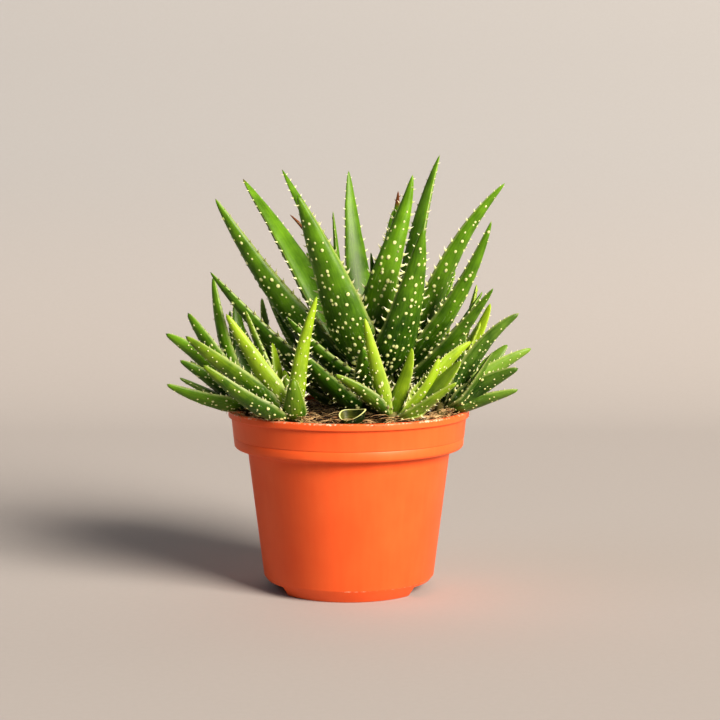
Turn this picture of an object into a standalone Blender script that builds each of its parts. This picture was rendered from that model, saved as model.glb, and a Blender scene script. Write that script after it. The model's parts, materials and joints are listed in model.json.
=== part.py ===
"""Potted aloe: a clump of a small spiny aloe in a plain 12 cm plastic nursery pot.

Metres, +Z up. The origin is the middle of the pot's base, on the surface that the pot stands on,
and -Y is the front. Sizes in the tables are in millimetres, angles in degrees.
"""
import math
from collections import namedtuple

import bmesh
import bpy
from mathutils import Matrix, Quaternion, Vector, noise

MM = 0.001
GAP = 0.3

# Pot
POT_HEIGHT = 90.0
POT_RIM_RADIUS = 60.0
POT_LIP_HEIGHT = 3.6
POT_BAND_RADIUS_TOP = 58.6
POT_BAND_RADIUS_LOW = 57.2
POT_BAND_BOTTOM = 70.5
POT_BODY_RADIUS_TOP = 50.6
POT_BODY_RADIUS_LOW = 42.6
POT_EDGE_Z = 6.3
POT_FOOT_RADIUS = 37.8
POT_WALL = 1.5
POT_LIP_WALL = 2.6
POT_GROOVE_Z = 76.3
POT_FILLET = 3.0
POT_FLOOR_Z = 5.4
POT_PAD_RADIUS = 12.0
POT_SEGMENTS = 32
DRAIN_HOLE_COUNT = 6
DRAIN_HOLE_RADIUS = 4.0
DRAIN_HOLE_CIRCLE = 25.0
FOOT_RECESS_HALF_ANGLE = 39.0
FOOT_RECESS_INNER_RADIUS = 33.0
FOOT_RECESS_STEPS = 8
CUT_OVERRUN = 2.0

# Soil
SOIL_TOP = 86.0
SOIL_CLEARANCE = 0.55
SOIL_SEGMENTS = 24
SOIL_BUMP = 1.3
SOIL_MOUND = 2.2
SOIL_BUMP_SIZE = 14.0
SOIL_RINGS = (0.25, 0.5, 0.72, 0.9)
SOIL_EDGE_DROP = 1.5
STEM_HOLE_DEPTH = 8.0

# Main plant
PLANT_X = 13.0
PLANT_Y = 0.0
STEM_RADIUS = 11.5
STEM_SEGMENTS = 14
STEM_CHAMFER = 1.0
STEM_DOME_Z = 109.0

# Stub of a cut leaf at the front
CUT_LEAF_X = 2.0
CUT_LEAF_Y = -49.0
CUT_LEAF_TOP = 96.5
CUT_LEAF_SUNK = 4.0
CUT_LEAF_ROOT_RADIUS = 2.6
CUT_LEAF_TOP_RADIUS = 5.8
CUT_LEAF_SEGMENTS = 10
CUT_LEAF_LEAN = -12.0
CUT_LEAF_FACING = 80.0
CUT_LEAF_MOUTH_X = 1.6
CUT_LEAF_WALL = 1.3
CUT_LEAF_HOLE_RADIUS = 4.7

# Leaf shape, as shares of the leaf's length, width and thickness
ROOT_WIDTH_SHARE = 0.38
ROOT_THICKNESS_SHARE = 0.55
WIDEST_AT = 0.24
TAPER_POWER = 0.66
PUP_TAPER_POWER = 0.5
UPPER_SHARE = 0.16
LOWER_SHARE = 0.84
BEND_REACH = 0.36
ROLL_FULL_AT = 0.3
UPRIGHT_LIMIT = 3.0
TANGENT_STEP = 0.01

# Teeth on the margins and spines on the backs
TOOTH_LENGTH = 2.6
TOOTH_ROOT = 1.9
TOOTH_LEAN = 0.45
SPINE_LENGTH = 1.6
SPINE_ROOT = 1.5
SPIKE_INSET = 0.15
FULL_SPIKE_WIDTH = 14.0
SPINE_CELLS = {(1, 5), (1, 6), (2, 7), (3, 5), (4, 6), (5, 5)}

# Section corners, in degrees round the leaf from one margin over the upper side to the other
SECTION_LARGE = (-9, 9, 90, 171, 189, 232, 270, 308)
SECTION_SMALL = (-10, 10, 90, 170, 190, 270)

Leaf = namedtuple("Leaf", "azimuth reach height root rise_root rise_tip width thick sway roll")
Pup = namedtuple("Pup", "name x y radius top colour leaves")

# Main leaves: direction, reach of the tip from the stem's axis, height of the tip and of the root,
# rise of the leaf at its root and at its tip, width, thickness, sideways sway of the tip
MAIN_LEAVES = {
    "leaf_01": Leaf(191, 79, 194.5, 111, 40, 58, 19, 8.0, -1, 36),
    "leaf_02": Leaf(156, 74, 204, 112, 62, 50, 19, 7.0, -1, -22),
    "leaf_03": Leaf(112, 64, 209, 112, 64, 54, 12, 6.0, 26, -10),
    "leaf_04": Leaf(246, 48, 196, 113, 50, 62, 24.5, 9.2, -19, 0),
    "leaf_05": Leaf(165, 21, 188, 118, 66, 82, 7, 4.0, 2, 0),
    "leaf_06": Leaf(86, 31, 182, 116.5, 62, 74, 8, 4.5, 15, 0),
    "leaf_07": Leaf(118, 28, 208, 119.5, 72, 84, 16, 6.5, 0, 0),
    "leaf_08": Leaf(330, 1, 168, 120.4, 88, 88, 8, 4.5, -6, 0),
    "leaf_09": Leaf(262, 12, 206, 118, 66, 80, 17, 7.0, 20, 0),
    "leaf_10": Leaf(66, 20, 198, 117.5, 72, 84, 11, 5.0, -4, 0),
    "leaf_11": Leaf(33, 44, 216, 112.5, 77, 60, 15, 6.5, 7, 12),
    "leaf_12": Leaf(291, 47, 181, 110, 44, 74, 21, 9.0, 6, 0),
    "leaf_13": Leaf(352, 64, 202, 111, 64, 44, 16, 7.5, 0, -36),
    "leaf_14": Leaf(334, 63, 184, 107, 48, 68, 14, 7.5, -3, -22),
    "leaf_15": Leaf(318, 74, 153, 100, 28, 44, 16, 7.5, 0, 0),
    "leaf_16": Leaf(192, 82, 159, 97, 28, 48, 17, 7.0, 0, 22),
    "leaf_17": Leaf(162, 68, 170, 103, 44, 50, 13, 6.5, 0, -10),
    "leaf_18": Leaf(264, 39, 124, 99, 14, 60, 17, 6.5, -2, 0),
    "leaf_19": Leaf(236, 52, 123, 93.5, 12, 36, 16, 7.0, -10, 0),
    "leaf_20": Leaf(219, 52, 138, 107, 26, 44, 15, 6.0, -3, 0),
    "leaf_21": Leaf(147, 70, 158, 97, 18, 66, 13, 6.0, 0, 0),
    "leaf_22": Leaf(22, 60, 172, 105, 48, 56, 15, 7.0, 0, 0),
    "leaf_23": Leaf(50, 66, 156, 99.5, 26, 48, 17, 7.5, 0, 0),
    "leaf_24": Leaf(86, 60, 168, 105, 42, 56, 17, 8.0, 0, 0),
    "leaf_25": Leaf(102, 72, 142, 97, 16, 38, 17, 7.0, 0, 0),
    "leaf_26": Leaf(126, 60, 166, 105, 40, 58, 15, 7.5, 0, 0),
    "leaf_27": Leaf(76, 40, 188, 112, 56, 70, 17, 7.5, 0, 0),
    "leaf_28": Leaf(297, 38, 112, 93.5, 14, 34, 13, 6.0, 0, 0),
    "leaf_29": Leaf(6, 54, 148, 98, 32, 54, 13, 6.0, 0, 0),
    "leaf_30": Leaf(172, 60, 126, 93, 6, 34, 13, 6.0, 0, 0),
    "leaf_31": Leaf(138, 49, 186, 115, 70, 35, 8, 4.2, 10, 0),
}
LEAF_RINGS = 7
SLENDER_WIDTH = 13
PUP_LEAF_RINGS = 4
PUP_SEGMENTS = 8
PUP_TOP_SHARE = 0.7
PUP_LEAF_START = 0.5
PUP_LEAF_STEP = 0.2

LIME = (0.42, 0.58, 0.06)
FRESH = (0.22, 0.42, 0.05)
GREY_GREEN = (0.16, 0.32, 0.12)
DARK = (0.05, 0.15, 0.03)
OLIVE = (0.2, 0.22, 0.06)
PEAT = (0.07, 0.035, 0.02)
TERRACOTTA = (0.75, 0.14, 0.03)
LOW_LEAF_ROOT = 100

# Offsets: place, root stock and leaves; reach and height are of the tip from the offset's own axis
PUPS = (
    Pup("pup_front_left", -25, -43, 4.5, 94, LIME, (
        Leaf(192, 33, 141, 91, 56, 58, 11, 4.6, 0, 55),
        Leaf(285, 6, 149, 93, 84, 72, 8.5, 4.2, 9, 0),
        Leaf(268, 12, 111, 90, 56, 88, 11.5, 5.2, 0, 0),
        Leaf(181, 52, 130, 91, 36, 37, 14, 5.0, 0, 55),
        Leaf(203, 46, 118, 91, 14, 38, 12.5, 4.8, 0, 35),
        Leaf(164, 25, 142, 92, 60, 66, 10, 4.4, 0, 35),
        Leaf(140, 15, 126, 92, 44, 70, 9, 4.1, 0, 0),
        Leaf(110, 18, 112, 91, 30, 50, 9, 4.1, 0, 0),
    )),
    Pup("pup_left", -47, -8, 5.0, 95, FRESH, (
        Leaf(187, 43, 128.5, 92, 48, 28, 13.5, 4.8, 0, 55),
        Leaf(172, 33, 138, 92, 52, 54, 14, 5.0, 0, 55),
        Leaf(156, 22, 156, 93, 58, 82, 12, 5.0, 0, 55),
        Leaf(120, 20, 144, 93, 48, 74, 11.5, 5.0, 0, 0),
        Leaf(198, 37, 116, 92, 36, 28, 11.5, 4.5, 0, 45),
        Leaf(208, 46, 105.5, 92, 10, 24, 12, 4.5, 0, 35),
        Leaf(176, 37, 106, 92, 14, 22, 9, 3.9, 0, 0),
        Leaf(232, 26, 118, 92, 30, 50, 11, 4.5, 0, 15),
        Leaf(146, 26, 122, 92, 34, 52, 9, 4.3, 0, 0),
    )),
    Pup("pup_front_right", 21, -45, 4.5, 94, LIME, (
        Leaf(200, 14, 139, 92, 70, 76, 9, 4.4, 0, 40),
        Leaf(60, 8, 124, 92, 64, 84, 9, 3.9, -6, 0),
        Leaf(352, 22, 120, 91, 20, 72, 10, 4.2, 0, -50),
        Leaf(9, 38, 127, 91, 38, 30, 12.5, 4.6, 0, -55),
        Leaf(344, 33, 119, 91, 24, 48, 13.5, 4.8, 0, 55),
        Leaf(201, 29, 113, 93, 46, 26, 9.5, 4.0, 0, 35),
        Leaf(330, 34, 110, 91, 20, 30, 9.5, 4.0, 0, -15),
    )),
    Pup("pup_right", 46, -16, 5.0, 95, GREY_GREEN, (
        Leaf(354, 37, 139, 93, 60, 30, 12.5, 5.2, 0, -45),
        Leaf(24, 36, 122, 92, 32, 40, 11.5, 4.4, 0, 50),
        Leaf(6, 44, 121, 92, 42, 22, 12.5, 4.7, 0, -55),
        Leaf(330, 27, 121, 92, 30, 52, 10, 4.2, 0, 20),
        Leaf(341, 38, 113, 92, 32, 18, 13, 5.2, 0, -50),
        Leaf(350, 37, 102, 92, 14, 14, 10.5, 4.4, 0, -40),
        Leaf(60, 24, 128, 93, 44, 66, 9, 4.3, 0, 0),
    )),
    Pup("pup_right_back", 42, 24, 4.5, 94, LIME, (
        Leaf(356, 30, 141, 92, 52, 72, 10.5, 4.4, 0, 60),
        Leaf(20, 25, 150, 92, 52, 76, 8, 4.3, 0, 0),
        Leaf(334, 27, 132, 92, 40, 58, 10, 4.2, 0, 45),
        Leaf(45, 34, 124, 92, 28, 44, 9, 4.1, 0, 0),
        Leaf(66, 24, 132, 92, 40, 64, 9, 4.1, 0, 0),
    )),
    Pup("pup_back", 4, 47, 5.0, 94, FRESH, (
        Leaf(60, 34, 126, 92, 26, 44, 10.5, 4.5, 0, 0),
        Leaf(98, 36, 118, 92, 20, 36, 10.5, 4.5, 0, 0),
        Leaf(140, 32, 128, 92, 32, 50, 10.5, 4.5, 0, 0),
        Leaf(85, 18, 138, 93, 52, 76, 9, 4.3, 0, 0),
        Leaf(14, 20, 108, 92, 14, 34, 8, 4.1, 0, 0),
    )),
    Pup("pup_back_right", 31, 39, 4.5, 93, FRESH, (
        Leaf(50, 30, 118, 92, 24, 42, 10.5, 4.3, 0, 0),
        Leaf(116, 20, 124, 92, 38, 58, 8, 4.1, 0, 0),
        Leaf(95, 28, 114, 92, 22, 40, 10.5, 4.3, 0, 0),
        Leaf(60, 12, 132, 92, 56, 80, 9, 4.1, 0, 0),
    )),
    Pup("pup_left_rear", -48, 13, 4.5, 93, GREY_GREEN, (
        Leaf(162, 34, 120, 92, 24, 42, 10.5, 4.3, 0, 0),
        Leaf(186, 32, 113, 92, 22, 38, 9, 4.3, 0, 0),
        Leaf(138, 17, 126, 92, 44, 66, 9, 4.1, 0, 0),
        Leaf(176, 12, 138, 92, 56, 80, 9, 4.1, 0, 0),
    )),
    Pup("pup_left_back", -32, 37, 5.0, 94, GREY_GREEN, (
        Leaf(120, 36, 124, 92, 26, 44, 10.5, 4.5, 0, 0),
        Leaf(160, 40, 116, 92, 20, 34, 10.5, 4.5, 0, 0),
        Leaf(184, 26, 134, 92, 44, 62, 10.5, 4.5, 0, 0),
        Leaf(140, 18, 142, 93, 54, 78, 9, 4.3, 0, 0),
        Leaf(88, 28, 112, 92, 18, 30, 9, 4.1, 0, 0),
    )),
)


def clear_scene():
    for item in list(bpy.data.objects):
        bpy.data.objects.remove(item, do_unlink=True)


def new_collection(name):
    collection = bpy.data.collections.new(name)
    bpy.context.scene.collection.children.link(collection)
    return collection


def principled(name, colour, roughness):
    material = bpy.data.materials.new(name)
    material.use_nodes = True
    shader = material.node_tree.nodes["Principled BSDF"]
    shader.inputs["Base Color"].default_value = (*colour, 1.0)
    shader.inputs["Roughness"].default_value = roughness
    shader.inputs["Metallic"].default_value = 0.0
    return material


def mesh_object(name, bm, collection, material):
    """Turn a bmesh into a named object, shaded smooth with crisp edges."""
    bmesh.ops.recalc_face_normals(bm, faces=bm.faces)
    mesh = bpy.data.meshes.new(name)
    bm.to_mesh(mesh)
    bm.free()
    item = bpy.data.objects.new(name, mesh)
    collection.objects.link(item)
    if material:
        mesh.materials.append(material)
    mesh.shade_smooth()
    mesh.set_sharp_from_angle(angle=math.radians(40))
    return item


def turned(name, profile, segments, collection, material):
    """A profile of (radius, height) points, turned round Z by a Screw modifier."""
    bm = bmesh.new()
    corners = [bm.verts.new((radius * MM, 0, height * MM)) for radius, height in profile]
    for upper, lower in zip(corners, corners[1:]):
        bm.edges.new((upper, lower))
    mesh = bpy.data.meshes.new(name)
    bm.to_mesh(mesh)
    bm.free()
    item = bpy.data.objects.new(name, mesh)
    collection.objects.link(item)
    mesh.materials.append(material)
    screw = item.modifiers.new("turn", "SCREW")
    screw.steps = segments
    screw.render_steps = segments
    screw.use_merge_vertices = True
    screw.merge_threshold = 0.00001
    screw.use_smooth_shade = True
    return item


def apply_modifiers(item):
    """Replace an object's mesh by the mesh that its modifiers make."""
    graph = bpy.context.evaluated_depsgraph_get()
    mesh = bpy.data.meshes.new_from_object(item.evaluated_get(graph))
    item.modifiers.clear()
    item.data = mesh


def cylinder_cutter(name, x, y, radius, low, high, collection, segments=12):
    """An upright cylinder that is only used to cut."""
    bm = bmesh.new()
    place = Matrix.Translation((x * MM, y * MM, (low + high) / 2 * MM))
    corner = radius / math.cos(math.pi / segments) * MM
    bmesh.ops.create_cone(bm, cap_ends=True, segments=segments, radius1=corner, radius2=corner,
                          depth=(high - low) * MM, matrix=place)
    return cutter_object(name, bm, collection)


def cutter_object(name, bm, collection):
    item = mesh_object(name, bm, collection, None)
    item.hide_render = True
    item.display_type = "WIRE"
    return item


def cut(item, cutter):
    boolean = item.modifiers.new(cutter.name, "BOOLEAN")
    boolean.operation = "DIFFERENCE"
    boolean.object = cutter


def wall_radius(height):
    """Outer radius of the pot's tapered body."""
    share = (height - POT_EDGE_Z) / (POT_BAND_BOTTOM - POT_EDGE_Z)
    return POT_BODY_RADIUS_LOW + (POT_BODY_RADIUS_TOP - POT_BODY_RADIUS_LOW) * share


def pot_inside(gap=0.0):
    """Inner surface of the pot, from the rim down to the floor, moved inwards by a gap."""
    floor = POT_FLOOR_Z + POT_WALL + gap
    return [
        (POT_RIM_RADIUS - POT_LIP_WALL - gap, POT_HEIGHT),
        (POT_BAND_RADIUS_LOW - POT_WALL - gap, POT_BAND_BOTTOM + 2 * POT_WALL + gap),
        (POT_BODY_RADIUS_TOP - POT_WALL - gap, POT_BAND_BOTTOM - POT_WALL),
        (wall_radius(floor + POT_FILLET) - POT_WALL - gap, floor + POT_FILLET),
        (wall_radius(floor) - POT_WALL - POT_FILLET - gap, floor),
    ]


def make_pot(parts, cutters):
    """Thin moulded pot: rim lip, grooved band, tapered body, foot with two wide drain recesses."""
    floor = POT_FLOOR_Z + POT_WALL
    lip_low = POT_HEIGHT - POT_LIP_HEIGHT
    groove = POT_GROOVE_Z
    pad = POT_PAD_RADIUS
    inside = pot_inside()
    profile = [
        (0.0, POT_WALL),
        (pad - POT_WALL, POT_WALL),
        (pad + 1.4, floor),
        *reversed(inside[1:]),
        (inside[0][0], POT_HEIGHT - 0.4),
        (inside[0][0] + 0.5, POT_HEIGHT),
        (POT_RIM_RADIUS - 0.7, POT_HEIGHT),
        (POT_RIM_RADIUS, POT_HEIGHT - 0.7),
        (POT_RIM_RADIUS, lip_low + 0.6),
        (POT_BAND_RADIUS_TOP + 0.4, lip_low),
        (POT_BAND_RADIUS_TOP - 0.1, lip_low - 0.4),
        (POT_BAND_RADIUS_LOW + 0.4, groove + 0.4),
        (POT_BAND_RADIUS_LOW + 0.05, groove),
        (POT_BAND_RADIUS_LOW + 0.2, groove - 0.5),
        (POT_BAND_RADIUS_LOW, POT_BAND_BOTTOM + 2.4),
        (POT_BAND_RADIUS_LOW - 1.3, POT_BAND_BOTTOM + 0.6),
        (POT_BODY_RADIUS_TOP + 0.9, POT_BAND_BOTTOM - 0.5),
        (wall_radius(POT_BAND_BOTTOM - 2), POT_BAND_BOTTOM - 2),
        (POT_BODY_RADIUS_LOW, POT_EDGE_Z),
        (POT_FOOT_RADIUS, 0.0),
        (POT_FOOT_RADIUS - 2.4, 0.0),
        (POT_FOOT_RADIUS - 2.0, POT_FLOOR_Z),
        (pad + 2.6, POT_FLOOR_Z),
        (pad, 0.0),
        (0.0, 0.0),
    ]
    plastic = principled("pot_plastic", TERRACOTTA, 0.42)
    pot = turned("pot", profile, POT_SEGMENTS, parts, plastic)
    for index in range(DRAIN_HOLE_COUNT):
        angle = 2 * math.pi * (index + 0.5) / DRAIN_HOLE_COUNT
        x = DRAIN_HOLE_CIRCLE * math.cos(angle)
        y = DRAIN_HOLE_CIRCLE * math.sin(angle)
        hole = cylinder_cutter(f"drain_hole_{index + 1}", x, y, DRAIN_HOLE_RADIUS,
                               POT_FLOOR_Z - CUT_OVERRUN, floor + CUT_OVERRUN, cutters)
        cut(pot, hole)
    for side, facing in (("left", 180.0), ("right", 0.0)):
        cut(pot, foot_recess(f"foot_recess_{side}", facing, cutters))
    return pot


def foot_recess(name, facing, cutters):
    """A sector of a ring that opens the foot on one side, nearly up to the underside of the floor."""
    bm = bmesh.new()
    start = math.radians(facing - FOOT_RECESS_HALF_ANGLE)
    inner = FOOT_RECESS_INNER_RADIUS * MM
    outer = POT_RIM_RADIUS * MM
    low = -CUT_OVERRUN * MM
    high = (POT_FLOOR_Z - 0.4) * MM
    corners = [bm.verts.new(point) for point in
               ((inner, 0, low), (outer, 0, low), (outer, 0, high), (inner, 0, high))]
    face = bm.faces.new(corners)
    bmesh.ops.rotate(bm, verts=corners, cent=(0, 0, 0), matrix=Matrix.Rotation(start, 3, "Z"))
    bmesh.ops.spin(bm, geom=[face], cent=(0, 0, 0), axis=(0, 0, 1), steps=FOOT_RECESS_STEPS,
                   angle=math.radians(2 * FOOT_RECESS_HALF_ANGLE))
    return cutter_object(name, bm, cutters)


def make_soil(parts, cutters, stems):
    """The filling of the pot, with a rough top and one plain hole for each stem."""
    side = pot_inside(SOIL_CLEARANCE)
    rim_radius = side[0][0] - SOIL_CLEARANCE
    floor = side[-1][1]
    profile = [(0.0, SOIL_TOP)]
    profile += [(rim_radius * share, SOIL_TOP) for share in SOIL_RINGS]
    profile += [(rim_radius, SOIL_TOP - SOIL_EDGE_DROP)]
    profile += side[1:]
    profile += [(0.0, floor)]
    soil = turned("soil", profile, SOIL_SEGMENTS, parts, principled("soil_peat", PEAT, 0.95))
    apply_modifiers(soil)
    for vertex in soil.data.vertices:
        if vertex.co.z > (SOIL_TOP - 0.5) * MM:
            place = vertex.co / (SOIL_BUMP_SIZE * MM)
            inward = max(0.0, 1 - vertex.co.xy.length / (rim_radius * MM))
            vertex.co.z += (SOIL_BUMP * noise.noise(place) + SOIL_MOUND * inward) * MM
    low = SOIL_TOP - STEM_HOLE_DEPTH - GAP
    high = SOIL_TOP + SOIL_BUMP + SOIL_MOUND + CUT_OVERRUN
    for name, x, y, radius in stems:
        cut(soil, cylinder_cutter(f"{name}_hole", x, y, radius + GAP, low, high, cutters))
    return soil


def make_stem(parts):
    """Short stout stem of the main plant, with a domed top that the leaves crowd round."""
    dome = []
    for angle in (90, 70, 50, 30, 12, 0):
        turn = math.radians(angle)
        dome.append((STEM_RADIUS * math.cos(turn), STEM_DOME_Z + STEM_RADIUS * math.sin(turn)))
    dome[0] = (0.0, dome[0][1])
    foot = SOIL_TOP - STEM_HOLE_DEPTH
    profile = [*dome, (STEM_RADIUS, foot + STEM_CHAMFER), (STEM_RADIUS - STEM_CHAMFER, foot), (0.0, foot)]
    stem = turned("stem", profile, STEM_SEGMENTS, parts, principled("stem_skin", OLIVE, 0.6))
    stem.location = (PLANT_X * MM, PLANT_Y * MM, 0)
    return stem


def root_radius(leaf):
    """Distance of a leaf's root from the stem's axis, where its upper edge just clears the skin."""
    above = max(0.0, leaf.root - STEM_DOME_Z)
    lean = UPPER_SHARE * ROOT_THICKNESS_SHARE * leaf.thick * math.sin(math.radians(leaf.rise_root))
    reach = STEM_RADIUS + GAP
    return math.sqrt(max(0.0, reach * reach - above * above)) + lean


def leaf_curve(leaf, x, y, start_radius):
    """Centre line of a leaf as a function of the share of its length, in millimetres."""
    turn = math.radians(leaf.azimuth)
    outward = Vector((math.cos(turn), math.sin(turn), 0))
    side = Vector((-math.sin(turn), math.cos(turn), 0))
    axis = Vector((x, y, 0))
    root = axis + outward * start_radius + Vector((0, 0, leaf.root))
    tip = axis + outward * leaf.reach + side * leaf.sway + Vector((0, 0, leaf.height))
    span = (tip - root).length * BEND_REACH

    flat = Vector((tip.x - root.x, tip.y - root.y, 0))
    tipward = flat.normalized() if flat.length > UPRIGHT_LIMIT else outward

    def heading(level, rise):
        return level * math.cos(math.radians(rise)) + Vector((0, 0, math.sin(math.radians(rise))))

    after_root = root + heading(outward, leaf.rise_root) * span
    before_tip = tip - heading(tipward, leaf.rise_tip) * span

    def point(share):
        rest = 1 - share
        return (root * rest ** 3 + after_root * 3 * rest * rest * share
                + before_tip * 3 * rest * share * share + tip * share ** 3)

    def frame(share):
        ahead = point(min(1, share + TANGENT_STEP))
        along = (ahead - point(max(0, share - TANGENT_STEP))).normalized()
        across = (side - along * side.dot(along)).normalized()
        across.rotate(Quaternion(along, math.radians(leaf.roll) * min(1, share / ROLL_FULL_AT)))
        return point(share), along, across, along.cross(across)

    return frame


def leaf_girth(share, taper):
    """Width and thickness of a leaf at a share of its length, as shares of their largest."""
    if share < WIDEST_AT:
        swell = math.sin(math.pi / 2 * share / WIDEST_AT)
        width = ROOT_WIDTH_SHARE + (1 - ROOT_WIDTH_SHARE) * swell
        thickness = ROOT_THICKNESS_SHARE + (1 - ROOT_THICKNESS_SHARE) * swell
        return width, thickness
    rest = (1 - share) / (1 - WIDEST_AT)
    return rest ** taper, rest ** (taper * 0.8)


def section_point(frame, leaf, share, angle, taper):
    """A point of the leaf's skin: convex below, nearly flat and slightly hollow above."""
    centre, along, across, up = frame(share)
    width, thickness = leaf_girth(share, taper)
    turn = math.radians(angle)
    sideways = leaf.width * width / 2 * math.cos(turn)
    lift = math.sin(turn)
    depth = UPPER_SHARE if lift > 0 else LOWER_SHARE
    return (centre + across * sideways + up * leaf.thick * thickness * depth * lift) * MM


def grow_spike(bm, face, length, root, lean):
    """Raise a small pyramid from a face: inset it, draw it in to the root's size, and lift a tip."""
    centre = face.calc_center_median()
    outward = face.normal.copy()
    along = lean.normalized()
    across = outward.cross(along).normalized()
    bmesh.ops.inset_individual(bm, faces=[face], thickness=SPIKE_INSET * MM)
    for vertex in face.verts:
        offset = vertex.co - centre
        far = offset.dot(along)
        wide = offset.dot(across)
        half = root / 2 * MM
        vertex.co = (centre + along * math.copysign(min(abs(far), half), far)
                     + across * math.copysign(min(abs(wide), half), wide))
    tip = bmesh.ops.poke(bm, faces=[face])["verts"][0]
    tip.co = centre + (outward + along * TOOTH_LEAN).normalized() * length * MM


def make_leaf_mesh(leaf, x, y, start_radius, section, rings, spine_rows, taper):
    """A leaf: a grid wrapped round its centre line, with teeth on both margins and spines below."""
    frame = leaf_curve(leaf, x, y, start_radius)
    sides = len(section)
    bm = bmesh.new()
    bmesh.ops.create_grid(bm, x_segments=rings, y_segments=sides, size=0.5)
    cells = {}
    for face in bm.faces:
        place = face.calc_center_median()
        ring = int((place.x + 0.5) * rings)
        column = int((place.y + 0.5) * sides)
        cells[ring, column] = face
    for vertex in bm.verts:
        share = vertex.co.x + 0.5
        corner = round((vertex.co.y + 0.5) * sides) % sides
        vertex.co = section_point(frame, leaf, share, section[corner], taper)
    bmesh.ops.remove_doubles(bm, verts=bm.verts, dist=0.005 * MM)
    bmesh.ops.contextual_create(bm, geom=[edge for edge in bm.edges if edge.is_boundary])
    bmesh.ops.recalc_face_normals(bm, faces=bm.faces)
    margins = (0, sides // 2)
    size = 0.5 + 0.5 * min(1.0, leaf.width / FULL_SPIKE_WIDTH)
    for (ring, column), face in cells.items():
        share = (ring + 0.5) / rings
        along = frame(share)[1]
        if column in margins and ring > 0 and face.is_valid and len(face.verts) == 4:
            grow_spike(bm, face, TOOTH_LENGTH * size, TOOTH_ROOT * size, along)
        elif (ring, column) in spine_rows and len(face.verts) == 4:
            grow_spike(bm, face, SPINE_LENGTH, SPINE_ROOT, along)
    return bm


def make_main_leaf(name, leaf, parts, material):
    """A leaf of the main rosette; a slender one has a simpler section and no back spines."""
    if leaf.width <= SLENDER_WIDTH:
        section, spines = SECTION_SMALL, ()
    else:
        section, spines = SECTION_LARGE, SPINE_CELLS
    bm = make_leaf_mesh(leaf, PLANT_X, PLANT_Y, root_radius(leaf), section, LEAF_RINGS, spines,
                        TAPER_POWER)
    return mesh_object(name, bm, parts, material)


def make_cut_leaf(parts):
    """The stub of an old outer leaf: curled, open leaf skin that still stands in the soil."""
    bm = bmesh.new()
    low = SOIL_TOP - CUT_LEAF_SUNK
    height = CUT_LEAF_TOP - low
    place = Matrix.Translation((0, 0, height / 2 * MM))
    bmesh.ops.create_cone(bm, segments=CUT_LEAF_SEGMENTS, radius1=CUT_LEAF_ROOT_RADIUS * MM,
                          radius2=CUT_LEAF_TOP_RADIUS * MM, depth=height * MM, matrix=place)
    mouth = [face for face in bm.faces if face.calc_center_median().x > CUT_LEAF_MOUTH_X * MM]
    bmesh.ops.delete(bm, geom=mouth, context="FACES")
    lean = Matrix.Rotation(math.radians(CUT_LEAF_LEAN), 3, "Y")
    bmesh.ops.rotate(bm, verts=bm.verts, cent=(0, 0, CUT_LEAF_SUNK * MM), matrix=lean)
    facing = Matrix.Rotation(math.radians(CUT_LEAF_FACING), 3, "Z")
    bmesh.ops.rotate(bm, verts=bm.verts, cent=(0, 0, 0), matrix=facing)
    bmesh.ops.translate(bm, verts=bm.verts, vec=(CUT_LEAF_X * MM, CUT_LEAF_Y * MM, low * MM))
    stub = mesh_object("cut_leaf", bm, parts, principled("cut_leaf_skin", FRESH, 0.35))
    wall = stub.modifiers.new("wall", "SOLIDIFY")
    wall.thickness = CUT_LEAF_WALL * MM
    wall.offset = 0.0
    return stub


def make_pup(pup, parts):
    """An offset: a short root stock and its leaves, joined in one body."""
    bm = bmesh.new()
    low = SOIL_TOP - STEM_HOLE_DEPTH
    place = Matrix.Translation((pup.x * MM, pup.y * MM, (low + pup.top) / 2 * MM))
    bmesh.ops.create_cone(bm, cap_ends=True, segments=PUP_SEGMENTS, radius1=pup.radius * MM,
                          radius2=pup.radius * PUP_TOP_SHARE * MM, depth=(pup.top - low) * MM,
                          matrix=place)
    body = mesh_object(pup.name, bm, parts, principled(f"{pup.name}_skin", pup.colour, 0.4))
    blades = new_collection(f"{pup.name}_blades")
    for number, leaf in enumerate(pup.leaves):
        start = PUP_LEAF_START + PUP_LEAF_STEP * number
        bm = make_leaf_mesh(leaf, pup.x, pup.y, start, SECTION_SMALL, PUP_LEAF_RINGS, (),
                            PUP_TAPER_POWER)
        mesh_object(f"{pup.name}_blade_{number + 1}", bm, blades, None)
    join = body.modifiers.new("join", "BOOLEAN")
    join.operation = "UNION"
    join.operand_type = "COLLECTION"
    join.collection = blades
    join.solver = "MANIFOLD"
    bpy.context.view_layer.update()
    apply_modifiers(body)
    for item in list(blades.objects):
        bpy.data.objects.remove(item, do_unlink=True)
    bpy.data.collections.remove(blades)
    return body


def main():
    clear_scene()
    parts = new_collection("potted_aloe")
    cutters = new_collection("cutters")
    make_pot(parts, cutters)
    stems = [("stem", PLANT_X, PLANT_Y, STEM_RADIUS)]
    stems += [(pup.name, pup.x, pup.y, pup.radius) for pup in PUPS]
    stems += [("cut_leaf", CUT_LEAF_X, CUT_LEAF_Y, CUT_LEAF_HOLE_RADIUS)]
    make_soil(parts, cutters, stems)
    make_stem(parts)
    make_cut_leaf(parts)
    for name, leaf in MAIN_LEAVES.items():
        colour = DARK if leaf.root < LOW_LEAF_ROOT else FRESH
        make_main_leaf(name, leaf, parts, principled(f"{name}_skin", colour, 0.4))
    for pup in PUPS:
        make_pup(pup, parts)


main()
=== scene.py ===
"""Potted aloe: the finished surfaces of a clump of small spiny aloe in a plastic nursery pot.

Metres, +Z up, the frame's own origin: the middle of the pot's base, with -Y at the front.
Sizes in the tables are in millimetres, angles in degrees.
"""

import json
import math
import random
from collections import namedtuple

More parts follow.
